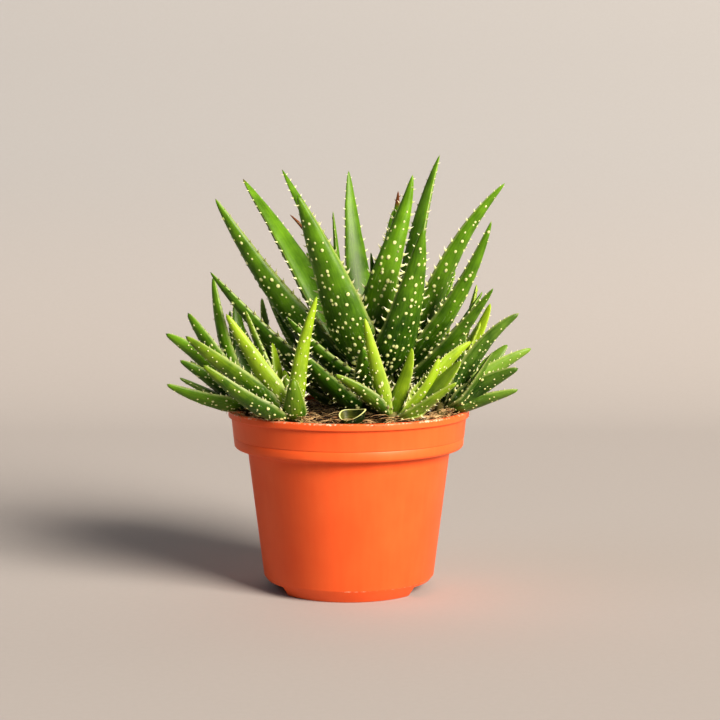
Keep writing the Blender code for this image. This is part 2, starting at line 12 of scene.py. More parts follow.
import bmesh
import bpy
from bpy.props import FloatProperty, FloatVectorProperty, IntProperty, PointerProperty
from mathutils import Matrix, Quaternion, Vector, noise


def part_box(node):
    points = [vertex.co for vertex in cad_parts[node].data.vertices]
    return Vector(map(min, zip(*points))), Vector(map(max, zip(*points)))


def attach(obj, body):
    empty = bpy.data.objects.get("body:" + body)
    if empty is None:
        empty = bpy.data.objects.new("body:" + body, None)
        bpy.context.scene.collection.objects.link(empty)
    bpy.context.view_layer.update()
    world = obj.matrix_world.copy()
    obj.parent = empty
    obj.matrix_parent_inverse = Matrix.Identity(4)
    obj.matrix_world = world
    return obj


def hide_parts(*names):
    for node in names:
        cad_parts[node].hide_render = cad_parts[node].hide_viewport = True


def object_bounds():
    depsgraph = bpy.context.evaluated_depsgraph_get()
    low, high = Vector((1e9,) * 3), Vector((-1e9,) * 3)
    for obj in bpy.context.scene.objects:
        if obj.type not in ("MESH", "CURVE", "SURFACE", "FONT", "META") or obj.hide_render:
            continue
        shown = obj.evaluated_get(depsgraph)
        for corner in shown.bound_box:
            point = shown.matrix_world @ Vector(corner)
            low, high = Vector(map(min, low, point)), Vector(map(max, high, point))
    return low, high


bl_info = {
    "name": "Potted Aloe",
    "version": (1, 0, 0),
    "blender": (4, 5, 0),
    "location": "View3D > Sidebar > Aloe",
    "description": "Builds a clump of spiny aloe in a plastic nursery pot over its CAD frame",
    "category": "Object",
}

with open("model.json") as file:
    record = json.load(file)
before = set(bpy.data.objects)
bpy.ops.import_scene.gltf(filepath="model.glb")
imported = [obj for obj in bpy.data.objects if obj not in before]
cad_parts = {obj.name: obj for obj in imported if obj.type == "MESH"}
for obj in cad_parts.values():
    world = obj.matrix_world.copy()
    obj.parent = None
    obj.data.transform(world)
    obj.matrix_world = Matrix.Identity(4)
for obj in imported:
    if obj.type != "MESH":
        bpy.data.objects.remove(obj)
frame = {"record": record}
CAD_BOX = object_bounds()
MM = 0.001
POT_LOW, POT_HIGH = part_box("pot")
STEM_LOW, STEM_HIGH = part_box("stem")

# Pot, in millimetres, measured on the frame
RIM_RADIUS = POT_HIGH.x / MM
POT_HEIGHT = POT_HIGH.z / MM
LIP_HEIGHT = 3.6
LIP_WALL = 2.6
BAND_RADIUS_TOP = RIM_RADIUS - 1.4
BAND_RADIUS_LOW = RIM_RADIUS - 2.8
BAND_BOTTOM = 70.5
GROOVE_Z = 76.3
BODY_RADIUS_TOP = 50.6
BODY_RADIUS_LOW = 42.6
EDGE_Z = 6.3
FOOT_RADIUS = 37.8
WALL = 1.5
FLOOR_Z = 5.4
PAD_RADIUS = 12.0
FILLET = 3.0
DRAIN_HOLE_COUNT = 6
DRAIN_HOLE_RADIUS = 4.0
DRAIN_HOLE_CIRCLE = 25.0
FOOT_RECESS_HALF_ANGLE = 39.0
FOOT_RECESS_INNER_RADIUS = 33.0
CUT_OVERRUN = 2.0

# Soil
SOIL_TOP = 86.0
SOIL_RADIUS = RIM_RADIUS - LIP_WALL - 0.9
SOIL_MOUND = 2.2
SOIL_DEPTH = 12.0

# Main plant, whose stem gives the axis
PLANT_X = (STEM_LOW.x + STEM_HIGH.x) / 2 / MM
PLANT_Y = (STEM_LOW.y + STEM_HIGH.y) / 2 / MM
STEM_RADIUS = 11.5
STEM_DOME_Z = 109.0
GAP = 0.3

# Leaf shape, as shares of the leaf's length, width and thickness
ROOT_WIDTH_SHARE = 0.38
ROOT_THICKNESS_SHARE = 0.55
WIDEST_AT = 0.24
TAPER_POWER = 0.66
PUP_TAPER_POWER = 0.5
UPPER_SHARE = 0.16
LOWER_SHARE = 0.84
FACE_FULLNESS = 1.7
BEND_REACH = 0.36
ROLL_FULL_AT = 0.3
UPRIGHT_LIMIT = 3.0
TANGENT_STEP = 0.01
PUP_LEAF_START = 0.5
PUP_LEAF_STEP = 0.2

# Stub of the cut leaf
CUT_WALL = 0.8

# Kinds of skin on the offsets
LIME = "lime"
FRESH = "fresh"
GREY_GREEN = "grey green"

Leaf = namedtuple("Leaf", "azimuth reach height root rise_root rise_tip width thick sway roll")
Pup = namedtuple("Pup", "name x y radius top colour leaves")

# Main leaves: direction, reach of the tip from the stem's axis, height of the tip and of the root,
# rise of the leaf at its root and at its tip, width, thickness, sideways sway of the tip
MAIN_LEAVES = {
    "leaf_01": Leaf(191, 79, 194.5, 111, 40, 58, 19, 8.0, -1, 36),
    "leaf_02": Leaf(156, 74, 204, 112, 62, 50, 19, 7.0, -1, -22),
    "leaf_03": Leaf(112, 64, 209, 112, 64, 54, 12, 6.0, 26, -10),
    "leaf_04": Leaf(246, 48, 196, 113, 50, 62, 24.5, 9.2, -19, 0),
    "leaf_05": Leaf(165, 21, 188, 118, 66, 82, 7, 4.0, 2, 0),
    "leaf_06": Leaf(86, 31, 182, 116.5, 62, 74, 8, 4.5, 15, 0),
    "leaf_07": Leaf(118, 28, 208, 119.5, 72, 84, 16, 6.5, 0, 0),
    "leaf_08": Leaf(330, 1, 168, 120.4, 88, 88, 8, 4.5, -6, 0),
    "leaf_09": Leaf(262, 12, 206, 118, 66, 80, 17, 7.0, 20, 0),
    "leaf_10": Leaf(66, 20, 198, 117.5, 72, 84, 11, 5.0, -4, 0),
    "leaf_11": Leaf(33, 44, 216, 112.5, 77, 60, 15, 6.5, 7, 12),
    "leaf_12": Leaf(291, 47, 181, 110, 44, 74, 21, 9.0, 6, 0),
    "leaf_13": Leaf(352, 64, 202, 111, 64, 44, 16, 7.5, 0, -36),
    "leaf_14": Leaf(334, 63, 184, 107, 48, 68, 14, 7.5, -3, -22),
    "leaf_15": Leaf(318, 74, 153, 100, 28, 44, 16, 7.5, 0, 0),
    "leaf_16": Leaf(192, 82, 159, 97, 28, 48, 17, 7.0, 0, 22),
    "leaf_17": Leaf(162, 68, 170, 103, 44, 50, 13, 6.5, 0, -10),
    "leaf_18": Leaf(264, 39, 124, 99, 14, 60, 17, 6.5, -2, 0),
    "leaf_19": Leaf(236, 52, 123, 93.5, 12, 36, 16, 7.0, -10, 0),
    "leaf_20": Leaf(219, 52, 138, 107, 26, 44, 15, 6.0, -3, 0),
    "leaf_21": Leaf(147, 70, 158, 97, 18, 66, 13, 6.0, 0, 0),
    "leaf_22": Leaf(22, 60, 172, 105, 48, 56, 15, 7.0, 0, 0),
    "leaf_23": Leaf(50, 66, 156, 99.5, 26, 48, 17, 7.5, 0, 0),
    "leaf_24": Leaf(86, 60, 168, 105, 42, 56, 17, 8.0, 0, 0),
    "leaf_25": Leaf(102, 72, 142, 97, 16, 38, 17, 7.0, 0, 0),
    "leaf_26": Leaf(126, 60, 166, 105, 40, 58, 15, 7.5, 0, 0),
    "leaf_27": Leaf(76, 40, 188, 112, 56, 70, 17, 7.5, 0, 0),
    "leaf_28": Leaf(297, 38, 112, 93.5, 14, 34, 13, 6.0, 0, 0),
    "leaf_29": Leaf(6, 54, 148, 98, 32, 54, 13, 6.0, 0, 0),
    "leaf_30": Leaf(172, 60, 126, 93, 6, 34, 13, 6.0, 0, 0),
    "leaf_31": Leaf(138, 49, 186, 115, 70, 35, 8, 4.2, 10, 0),
}

# Offsets: place, root stock and leaves; reach and height are of the tip from the offset's own axis
PUPS = (
    Pup("pup_front_left", -25, -43, 4.5, 94, LIME, (
        Leaf(192, 33, 141, 91, 56, 58, 11, 4.6, 0, 55),
        Leaf(285, 6, 149, 93, 84, 72, 8.5, 4.2, 9, 0),
        Leaf(268, 12, 111, 90, 56, 88, 11.5, 5.2, 0, 0),
        Leaf(181, 52, 130, 91, 36, 37, 14, 5.0, 0, 55),
        Leaf(203, 46, 118, 91, 14, 38, 12.5, 4.8, 0, 35),
        Leaf(164, 25, 142, 92, 60, 66, 10, 4.4, 0, 35),
        Leaf(140, 15, 126, 92, 44, 70, 9, 4.1, 0, 0),
        Leaf(110, 18, 112, 91, 30, 50, 9, 4.1, 0, 0),
    )),
    Pup("pup_left", -47, -8, 5.0, 95, FRESH, (
        Leaf(187, 43, 128.5, 92, 48, 28, 13.5, 4.8, 0, 55),
        Leaf(172, 33, 138, 92, 52, 54, 14, 5.0, 0, 55),
        Leaf(156, 22, 156, 93, 58, 82, 12, 5.0, 0, 55),
        Leaf(120, 20, 144, 93, 48, 74, 11.5, 5.0, 0, 0),
        Leaf(198, 37, 116, 92, 36, 28, 11.5, 4.5, 0, 45),
        Leaf(208, 46, 105.5, 92, 10, 24, 12, 4.5, 0, 35),
        Leaf(176, 37, 106, 92, 14, 22, 9, 3.9, 0, 0),
        Leaf(232, 26, 118, 92, 30, 50, 11, 4.5, 0, 15),
        Leaf(146, 26, 122, 92, 34, 52, 9, 4.3, 0, 0),
    )),
    Pup("pup_front_right", 21, -45, 4.5, 94, LIME, (
        Leaf(200, 14, 139, 92, 70, 76, 9, 4.4, 0, 40),
        Leaf(60, 8, 124, 92, 64, 84, 9, 3.9, -6, 0),
        Leaf(352, 22, 120, 91, 20, 72, 10, 4.2, 0, -50),
        Leaf(9, 38, 127, 91, 38, 30, 12.5, 4.6, 0, -55),
        Leaf(344, 33, 119, 91, 24, 48, 13.5, 4.8, 0, 55),
        Leaf(201, 29, 113, 93, 46, 26, 9.5, 4.0, 0, 35),
        Leaf(330, 34, 110, 91, 20, 30, 9.5, 4.0, 0, -15),
    )),
    Pup("pup_right", 46, -16, 5.0, 95, GREY_GREEN, (
        Leaf(354, 37, 139, 93, 60, 30, 12.5, 5.2, 0, -45),
        Leaf(24, 36, 122, 92, 32, 40, 11.5, 4.4, 0, 50),
        Leaf(6, 44, 121, 92, 42, 22, 12.5, 4.7, 0, -55),
        Leaf(330, 27, 121, 92, 30, 52, 10, 4.2, 0, 20),
        Leaf(341, 38, 113, 92, 32, 18, 13, 5.2, 0, -50),
        Leaf(350, 37, 102, 92, 14, 14, 10.5, 4.4, 0, -40),
        Leaf(60, 24, 128, 93, 44, 66, 9, 4.3, 0, 0),
    )),
    Pup("pup_right_back", 42, 24, 4.5, 94, LIME, (
        Leaf(356, 30, 141, 92, 52, 72, 10.5, 4.4, 0, 60),
        Leaf(20, 25, 150, 92, 52, 76, 8, 4.3, 0, 0),
        Leaf(334, 27, 132, 92, 40, 58, 10, 4.2, 0, 45),
        Leaf(45, 34, 124, 92, 28, 44, 9, 4.1, 0, 0),
        Leaf(66, 24, 132, 92, 40, 64, 9, 4.1, 0, 0),
    )),
    Pup("pup_back", 4, 47, 5.0, 94, FRESH, (
        Leaf(60, 34, 126, 92, 26, 44, 10.5, 4.5, 0, 0),
        Leaf(98, 36, 118, 92, 20, 36, 10.5, 4.5, 0, 0),
        Leaf(140, 32, 128, 92, 32, 50, 10.5, 4.5, 0, 0),
        Leaf(85, 18, 138, 93, 52, 76, 9, 4.3, 0, 0),
        Leaf(14, 20, 108, 92, 14, 34, 8, 4.1, 0, 0),
    )),
    Pup("pup_back_right", 31, 39, 4.5, 93, FRESH, (
        Leaf(50, 30, 118, 92, 24, 42, 10.5, 4.3, 0, 0),
        Leaf(116, 20, 124, 92, 38, 58, 8, 4.1, 0, 0),
        Leaf(95, 28, 114, 92, 22, 40, 10.5, 4.3, 0, 0),
        Leaf(60, 12, 132, 92, 56, 80, 9, 4.1, 0, 0),
    )),
    Pup("pup_left_rear", -48, 13, 4.5, 93, GREY_GREEN, (
        Leaf(162, 34, 120, 92, 24, 42, 10.5, 4.3, 0, 0),
        Leaf(186, 32, 113, 92, 22, 38, 9, 4.3, 0, 0),
        Leaf(138, 17, 126, 92, 44, 66, 9, 4.1, 0, 0),
        Leaf(176, 12, 138, 92, 56, 80, 9, 4.1, 0, 0),
    )),
    Pup("pup_left_back", -32, 37, 5.0, 94, GREY_GREEN, (
        Leaf(120, 36, 124, 92, 26, 44, 10.5, 4.5, 0, 0),
        Leaf(160, 40, 116, 92, 20, 34, 10.5, 4.5, 0, 0),
        Leaf(184, 26, 134, 92, 44, 62, 10.5, 4.5, 0, 0),
        Leaf(140, 18, 142, 93, 54, 78, 9, 4.3, 0, 0),
        Leaf(88, 28, 112, 92, 18, 30, 9, 4.1, 0, 0),
    )),
)



# What only the look needs: which leaves are light or dark, dry at the tip, and blunt
LEAF_TONE = {
    "leaf_01": 0.34, "leaf_02": 0.42, "leaf_03": 0.42, "leaf_04": 0.36, "leaf_05": 0.44,
    "leaf_06": 0.46, "leaf_07": 0.44, "leaf_08": 0.20, "leaf_09": 0.52, "leaf_10": 0.36,
    "leaf_11": 0.50, "leaf_12": 0.20, "leaf_13": 0.44, "leaf_14": 0.36, "leaf_15": 0.20,
    "leaf_16": 0.12, "leaf_17": 0.12, "leaf_18": 0.10, "leaf_19": 0.12, "leaf_20": 0.20,
    "leaf_31": 0.30,
}
COMMON_TONE = 0.32
DRY_FROM = {"leaf_02": 0.975, "leaf_10": 0.90, "leaf_31": 0.62}
NEVER_DRY = 2.0
DRY_BLEND = 0.03
STOCK_DRYNESS = 0.45

# Leaves that show a smoother face with small teeth, and old low leaves with the longest teeth
SMALL_TOOTHED = {"leaf_02", "leaf_05", "leaf_07", "leaf_08", "leaf_31"}
SMALL_TOOTH_SHARE = 0.7
SPINY = {"leaf_15", "leaf_16", "leaf_18", "leaf_19", "leaf_20", "leaf_28"}
SPINY_SHARE = 1.3

# How light each leaf of an offset is, in the order of its table; the rest take a random tone
OFFSET_TONES = {
    "pup_front_left": (0.62, 0.66, 0.10, 0.14, 0.02, 0.06),
    "pup_left": (0.36, 0.20, 0.42, 0.14, 0.06, 0.42),
    "pup_front_right": (0.74, 0.52, 0.74, 0.66, 0.30, 0.14),
    "pup_right": (0.20, 0.46, 0.85, 0.24, 0.10, 0.36),
    "pup_right_back": (0.95, 0.55, 0.70),
}

# Teeth, spots and spines, in millimetres
TOOTH_PITCH = 6.4
TOOTH_LENGTH = 4.7
TOOTH_ROOT = 1.7
TOOTH_THIN = 0.85
TOOTH_PALE_FROM = 0.75
HOOK = 0.75
MARGIN_PALENESS = 0.3
SPOT_PITCH = 4.2
SPOT_RADIUS = 1.08
SPOT_HEIGHT = 0.42
SPINE_LENGTH = 1.1
PUP_TOOTH_PITCH = 4.2
PUP_TOOTH_LENGTH = 3.0
PUP_SPOT_PITCH = 3.7
PUP_SPOT_RADIUS = 0.72
PUP_SPINE_LENGTH = 0.8

# Leaves of an offset with a serrated edge: pitch and length of their small crowded teeth
SERRATED = {("pup_front_left", 2): (1.5, 1.5), ("pup_front_right", 3): (2.2, 2.2), ("pup_right", 1): (2.2, 2.0)}

# Litter on the soil, in millimetres
CRUMB_COUNT = 620
CRUMB_SIZES = (0.7, 2.6)
FIBRE_COUNT = 420
FIBRE_LENGTHS = (7.0, 26.0)
FIBRE_RADII = (0.10, 0.24)
FIBRE_STEPS = 9
RIM_FIBRE_COUNT = 220
RIM_FIBRE_RADII = (0.08, 0.16)
RIM_FIBRE_HANGING = 0.22


def linear(code):
    """An sRGB hex colour as the linear numbers that shaders take."""
    channels = [int(code[at:at + 2], 16) / 255 for at in (1, 3, 5)]
    return tuple(c / 12.92 if c <= 0.04045 else ((c + 0.055) / 1.055) ** 2.4 for c in channels)


def colour_property(name, description, code):
    return FloatVectorProperty(name=name, description=description, default=linear(code),
                               size=3, subtype="COLOR", min=0.0, max=1.0)


def length_property(name, description, value):
    return FloatProperty(name=name, description=description, default=value * MM, unit="LENGTH")


class PotSettings(bpy.types.PropertyGroup):
    """Sizes and colours of the pot."""
    plastic: colour_property("Plastic", "Colour of the moulded polypropylene", "#f3713a")
    plastic_deep: colour_property("Deep plastic", "Colour of its darker, denser patches", "#e45926")
    bloom: colour_property("Lime bloom", "Dried lime and scuffs on the rim and edges", "#e9cdb4")
    rim_radius: length_property("Rim radius", "Outer radius of the rim, from the frame", RIM_RADIUS)
    facets: IntProperty(name="Facets", description="Steps round the pot", default=144, min=36)


class LeafSettings(bpy.types.PropertyGroup):
    """Sizes and colours of the leaves."""
    deep: colour_property("Deep green", "Skin of an old leaf, in its darker parts", "#224607")
    fresh: colour_property("Fresh green", "Skin of a leaf in its lighter parts", "#709e1e")
    offset_deep: colour_property("Offset green", "An offset's skin in its darker parts", "#3c5f12")
    offset_lime: colour_property("Offset lime", "An offset's youngest skin", "#9cba2c")
    shaded: colour_property("Shaded green", "A grey-green offset's skin in its lighter parts", "#779a38")
    spot: colour_property("Spot", "Raised pale spots and roots of the teeth", "#ebf0aa")
    tooth: colour_property("Tooth", "Horny ends of the teeth and spines", "#f8f4dc")
    dry: colour_property("Dry tissue", "Dead, dried tips", "#6f4022")
    tooth_length: length_property("Tooth length", "Longest tooth on a margin", TOOTH_LENGTH)
    spot_radius: length_property("Spot radius", "Radius of a pale spot on a main leaf", SPOT_RADIUS)
    rings: IntProperty(name="Rings", description="Rings along a main leaf", default=46, min=12)
    sides: IntProperty(name="Sides", description="Corners of a leaf's section", default=20, min=8)


class SoilSettings(bpy.types.PropertyGroup):
    """Colours of the soil and what lies on it."""
    peat: colour_property("Peat", "Moist peat", "#2c1d14")
    bark: colour_property("Bark", "Composted bark chips", "#4a3020")
    coir: colour_property("Coir", "Coconut fibre strands", "#a9794a")
    crumbs: IntProperty(name="Crumbs", description="Bark chips on the soil", default=CRUMB_COUNT, min=0)
    fibres: IntProperty(name="Fibres", description="Coir strands on the soil", default=FIBRE_COUNT, min=0)


class StageSettings(bpy.types.PropertyGroup):
    """Floor, wall and light."""
    wall: colour_property("Wall", "Wall behind the pot", "#a3a3a6")
    floor: colour_property("Floor", "Floor under the pot", "#b0acac")
    key_power: FloatProperty(name="Key light", description="Power of the main light", default=2700.0, unit="POWER")
    fill_power: FloatProperty(name="Fill light", description="Power of the fill light", default=4.0, unit="POWER")


def new_material(name):
    """A material with an empty node tree and its Principled shader."""
    material = bpy.data.materials.new(name)
    material.use_nodes = True
    tree = material.node_tree
    tree.nodes.clear()
    shader = add_node(tree, "ShaderNodeBsdfPrincipled")
    output = add_node(tree, "ShaderNodeOutputMaterial")
    tree.links.new(shader.outputs["BSDF"], output.inputs["Surface"])
    return material, tree, shader


def add_node(tree, kind, inputs=None, **settings):
    """Add one node with its settings; an input takes a value or another node's output."""
    node = tree.nodes.new(kind)
    for name, value in settings.items():
        setattr(node, name, value)
    for name, value in (inputs or {}).items():
        if isinstance(value, bpy.types.NodeSocket):
            tree.links.new(value, node.inputs[name])
        else:
            node.inputs[name].default_value = value
    return node


def blend_colours(tree, factor, first, second, mode="MIX"):
    """One colour over another; the RGBA sockets of a Mix node are its sixth and seventh."""
    node = add_node(tree, "ShaderNodeMix", data_type="RGBA", blend_type=mode)
    for index, value in ((0, factor), (6, first), (7, second)):
        if isinstance(value, bpy.types.NodeSocket):
            tree.links.new(value, node.inputs[index])
        elif index:
            node.inputs[index].default_value = (*value, 1.0)
        else:
            node.inputs[index].default_value = value
    return node.outputs[2]


def calculate(tree, operation, first, second=0.0, third=0.0, clamp=False):
    node = add_node(tree, "ShaderNodeMath", operation=operation, use_clamp=clamp,
                    inputs={0: first, 1: second, 2: third})
    return node.outputs[0]


def between(tree, value, low, high):
    """0 below low, 1 above high, with a soft step between them."""
    node = add_node(tree, "ShaderNodeMapRange", interpolation_type="SMOOTHSTEP",
                    inputs={"Value": value, "From Min": low, "From Max": high})
    return node.outputs["Result"]


def speckle(tree, vector, size, detail=2.0, roughness=0.5):
    """Noise whose grains are about size across, in the vector's own unit."""
    node = add_node(tree, "ShaderNodeTexNoise", inputs={
        "Vector": vector, "Scale": 1 / size, "Detail": detail, "Roughness": roughness})
    return node.outputs["Fac"]


def scaled(tree, vector, scale):
    node = add_node(tree, "ShaderNodeMapping", inputs={"Vector": vector, "Scale": scale})
    return node.outputs["Vector"]


def surface(tree, shader, colour, roughness, height, distance, strength=1.0):
    """Connect colour, roughness and bump to the shader."""
    bump = add_node(tree, "ShaderNodeBump", inputs={
        "Height": height, "Distance": distance, "Strength": strength})
    tree.links.new(colour, shader.inputs["Base Color"])
    tree.links.new(roughness, shader.inputs["Roughness"])
    tree.links.new(bump.outputs["Normal"], shader.inputs["Normal"])


def aloe_cuticle(name, leaves, deep, fresh):
    """Aloe leaf skin: a thick waxy cuticle over green flesh, so highlights are soft and clear,
    with cream spots, ivory teeth and red-brown dry tips."""
    material, tree, shader = new_material(name)
    place = add_node(tree, "ShaderNodeAttribute", attribute_name="skin").outputs["Vector"]
    along = add_node(tree, "ShaderNodeAttribute", attribute_name="along").outputs["Fac"]
    spot = add_node(tree, "ShaderNodeAttribute", attribute_name="spot").outputs["Fac"]
    tone = add_node(tree, "ShaderNodeAttribute", attribute_name="tone").outputs["Fac"]
    dry = add_node(tree, "ShaderNodeAttribute", attribute_name="dry").outputs["Fac"]

    # Cloudy patches of 9 mm, and streaks 0.9 mm wide that run along the leaf
    cloud = speckle(tree, place, 9.0, 3.0)
    streak = speckle(tree, scaled(tree, place, (0.05, 1.0, 1.0)), 0.9, 3.0)
    grain = speckle(tree, place, 0.5, 2.0)
    # Clouds and streaks swing the tone by up to 0.35 and 0.3
    tone = calculate(tree, "MULTIPLY_ADD", calculate(tree, "SUBTRACT", cloud, 0.5), 1.1, tone)
    tone = calculate(tree, "MULTIPLY_ADD", calculate(tree, "SUBTRACT", streak, 0.5), 0.6, tone)
    # Darker towards the root and a little lighter towards the tip
    tone = calculate(tree, "MULTIPLY_ADD", calculate(tree, "SUBTRACT", along, 0.4), 0.45, tone, clamp=True)
    colour = blend_colours(tree, tone, tuple(deep), tuple(fresh))

    # Fine dried mineral flecks near the root
    fleck = speckle(tree, scaled(tree, place, (0.35, 1.0, 1.0)), 0.8, 4.0, 0.7)
    flecked = calculate(tree, "MULTIPLY", between(tree, fleck, 0.58, 0.7),
                        calculate(tree, "SUBTRACT", 0.6, along, clamp=True))
    colour = blend_colours(tree, flecked, colour, linear("#cfd6c0"))
    colour = blend_colours(tree, calculate(tree, "MINIMUM", spot, 1.0), colour, tuple(leaves.spot))
    horn = calculate(tree, "SUBTRACT", spot, 1.0, clamp=True)
    colour = blend_colours(tree, horn, colour, tuple(leaves.tooth))
    colour = blend_colours(tree, dry, colour, tuple(leaves.dry))

    roughness = calculate(tree, "MULTIPLY_ADD", cloud, 0.16, 0.3)
    roughness = calculate(tree, "MULTIPLY_ADD", dry, 0.35, roughness)
    roughness = calculate(tree, "MULTIPLY_ADD", flecked, 0.5, roughness)
    height = calculate(tree, "MULTIPLY_ADD", streak, 0.8, grain)
    surface(tree, shader, colour, roughness, height, 0.05 * MM, 0.6)
    # Plant wax, dulled by its own bloom
    shader.inputs["IOR"].default_value = 1.46
    # Light passes through 1.4 mm of the clear flesh, so thin teeth and edges glow
    shader.inputs["Subsurface Weight"].default_value = 0.3
    shader.inputs["Subsurface Scale"].default_value = 1.4 * MM
    shader.inputs["Subsurface Radius"].default_value = (1.0, 1.0, 0.45)
    shader.inputs["Specular IOR Level"].default_value = 0.32
    return material


def moulded_polypropylene(pot):
    """Injection-moulded polypropylene: satin, slightly waxy, a little cloudy, with white lime bloom
    and scuffs where hands and water reach it."""
    material, tree, shader = new_material("moulded_polypropylene")
    place = add_node(tree, "ShaderNodeTexCoord").outputs["Object"]
    height = add_node(tree, "ShaderNodeSeparateXYZ", inputs={0: place}).outputs["Z"]
    # Clouds of 22 mm, upright flow streaks 3 mm wide, a moulded grain of 0.4 mm
    cloud = speckle(tree, place, 22 * MM, 3.0)
    flow = speckle(tree, scaled(tree, place, (1.0, 1.0, 0.06)), 3 * MM, 3.0)
    grain = speckle(tree, place, 0.4 * MM, 2.0)
    dirt = speckle(tree, place, 1.6 * MM, 5.0, 0.72)
    patch = speckle(tree, place, 13 * MM, 3.0)
    shade = calculate(tree, "ADD", calculate(tree, "MULTIPLY", cloud, 0.7),
                      calculate(tree, "MULTIPLY", flow, 0.35), clamp=True)
    colour = blend_colours(tree, shade, tuple(pot.plastic), tuple(pot.plastic_deep))

    # Bloom sits on the lip, and thinly on the lowest edge of the body
    lip = between(tree, height, (POT_HEIGHT - 2.2) * MM, (POT_HEIGHT - 0.5) * MM)
    edge = calculate(tree, "SUBTRACT", between(tree, height, (EDGE_Z - 0.6) * MM, (EDGE_Z - 0.1) * MM),
                     between(tree, height, (EDGE_Z + 0.1) * MM, (EDGE_Z + 0.7) * MM), clamp=True)
    where = calculate(tree, "ADD", lip, calculate(tree, "MULTIPLY", edge, 0.9), clamp=True)
    worn = calculate(tree, "MULTIPLY", calculate(tree, "ADD", dirt, calculate(tree, "MULTIPLY", patch, 0.6)), where)
    worn = between(tree, worn, 0.74, 0.98)
    scuff = speckle(tree, scaled(tree, place, (0.4, 0.4, 3.0)), 2.2 * MM, 6.0, 0.75)
    worn = calculate(tree, "ADD", worn, calculate(tree, "MULTIPLY", between(tree, scuff, 0.74, 0.82), 0.3), clamp=True)
    colour = blend_colours(tree, worn, colour, tuple(pot.bloom))

    roughness = calculate(tree, "MULTIPLY_ADD", cloud, 0.18, 0.36)
    roughness = calculate(tree, "MULTIPLY_ADD", worn, 0.3, roughness)
    relief = calculate(tree, "MULTIPLY_ADD", flow, 1.5, grain)
    surface(tree, shader, colour, roughness, relief, 0.04 * MM, 0.5)
    shader.inputs["IOR"].default_value = 1.49
    shader.inputs["Specular IOR Level"].default_value = 0.35
    return material


def moist_peat(soil):
    """Peat-based potting mix: nearly black when moist, matt, with lighter bark and coir dust."""
    material, tree, shader = new_material("moist_peat")
    place = add_node(tree, "ShaderNodeTexCoord").outputs["Object"]
    crumb = speckle(tree, place, 2.4 * MM, 6.0, 0.65)
    dust = speckle(tree, place, 0.7 * MM, 4.0, 0.7)
    colour = blend_colours(tree, between(tree, crumb, 0.42, 0.66), tuple(soil.peat), tuple(soil.bark))
    colour = blend_colours(tree, between(tree, dust, 0.62, 0.78), colour, tuple(soil.coir))
    roughness = calculate(tree, "MULTIPLY_ADD", dust, 0.2, 0.75)
    surface(tree, shader, colour, roughness, crumb, 0.9 * MM)
    return material


def plant_litter(name, light, dark, grain_size):
    """Dry plant matter, bark or coir: dull, with its colour changing from piece to piece."""
    material, tree, shader = new_material(name)
    place = add_node(tree, "ShaderNodeTexCoord").outputs["Object"]
    patch = speckle(tree, place, 4 * MM, 2.0)
    grain = speckle(tree, place, grain_size * MM, 4.0, 0.6)
    mixed = calculate(tree, "ADD", calculate(tree, "MULTIPLY", patch, 0.8),
                      calculate(tree, "MULTIPLY", grain, 0.4))
    colour = blend_colours(tree, between(tree, mixed, 0.42, 0.78), tuple(dark), tuple(light))
    roughness = calculate(tree, "MULTIPLY_ADD", grain, 0.2, 0.65)
    surface(tree, shader, colour, roughness, grain, 0.15 * MM)
    return material


def studio_paper(stage):
    """Matt studio paper for the floor and the wall behind."""
    material, tree, shader = new_material("studio_paper")
    place = add_node(tree, "ShaderNodeTexCoord").outputs["Object"]
    fibre = speckle(tree, place, 3 * MM, 3.0)
    height = add_node(tree, "ShaderNodeSeparateXYZ", inputs={0: place}).outputs["Z"]
    colour = blend_colours(tree, between(tree, height, 0.0, 0.25), tuple(stage.floor), tuple(stage.wall))
    colour = blend_colours(tree, calculate(tree, "MULTIPLY", fibre, 0.12), colour, linear("#8f8983"))
    roughness = calculate(tree, "MULTIPLY_ADD", fibre, 0.05, 0.9)
    surface(tree, shader, colour, roughness, fibre, 0.02 * MM)
    return material


def finished(name, bm, material, crease=40.0):
    """Make a bmesh the object of that name, smooth, with its material and its ride."""
    bmesh.ops.recalc_face_normals(bm, faces=bm.faces)
    mesh = bpy.data.meshes.new(name)
    bm.to_mesh(mesh)
    bm.free()
    piece = bpy.data.objects.new(name, mesh)
    bpy.context.scene.collection.objects.link(piece)
    mesh.materials.append(material)
    mesh.shade_smooth()
    mesh.set_sharp_from_angle(angle=math.radians(crease))
    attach(piece, "root")
    return piece


def material_slot_of(node):
    """The record's material slot of a CAD node."""
    for part in frame["record"]["subparts"]:
        if part["node"] == node:
            return part["material_slot"]
    raise ValueError(f"the record has no sub-part for {node}")


def stand_for(node):
    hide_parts(node)
    material_slot_of(node)


def absorb(bm, part):
    """Move the contents of one bmesh into another."""
    mesh = bpy.data.meshes.new("part")
    part.to_mesh(mesh)
    part.free()
    bm.from_mesh(mesh)
    bpy.data.meshes.remove(mesh)


def wrapped_grid(rings, sides, place):
    """A grid wrapped into a closed tube: place(share, corner) gives each point."""
    bm = bmesh.new()
    bmesh.ops.create_grid(bm, x_segments=rings, y_segments=sides, size=0.5)
    for vertex in bm.verts:
        share = vertex.co.x + 0.5
        corner = round((vertex.co.y + 0.5) * sides) % sides
        vertex.co = place(share, corner)
    return bm


def close_tube(bm):
    """Join the seam and pinched ends of a wrapped grid, and cap an open end."""
    bmesh.ops.remove_doubles(bm, verts=bm.verts, dist=0.002 * MM)
    rim = [edge for edge in bm.edges if edge.is_boundary]
    if rim:
        bmesh.ops.contextual_create(bm, geom=rim)


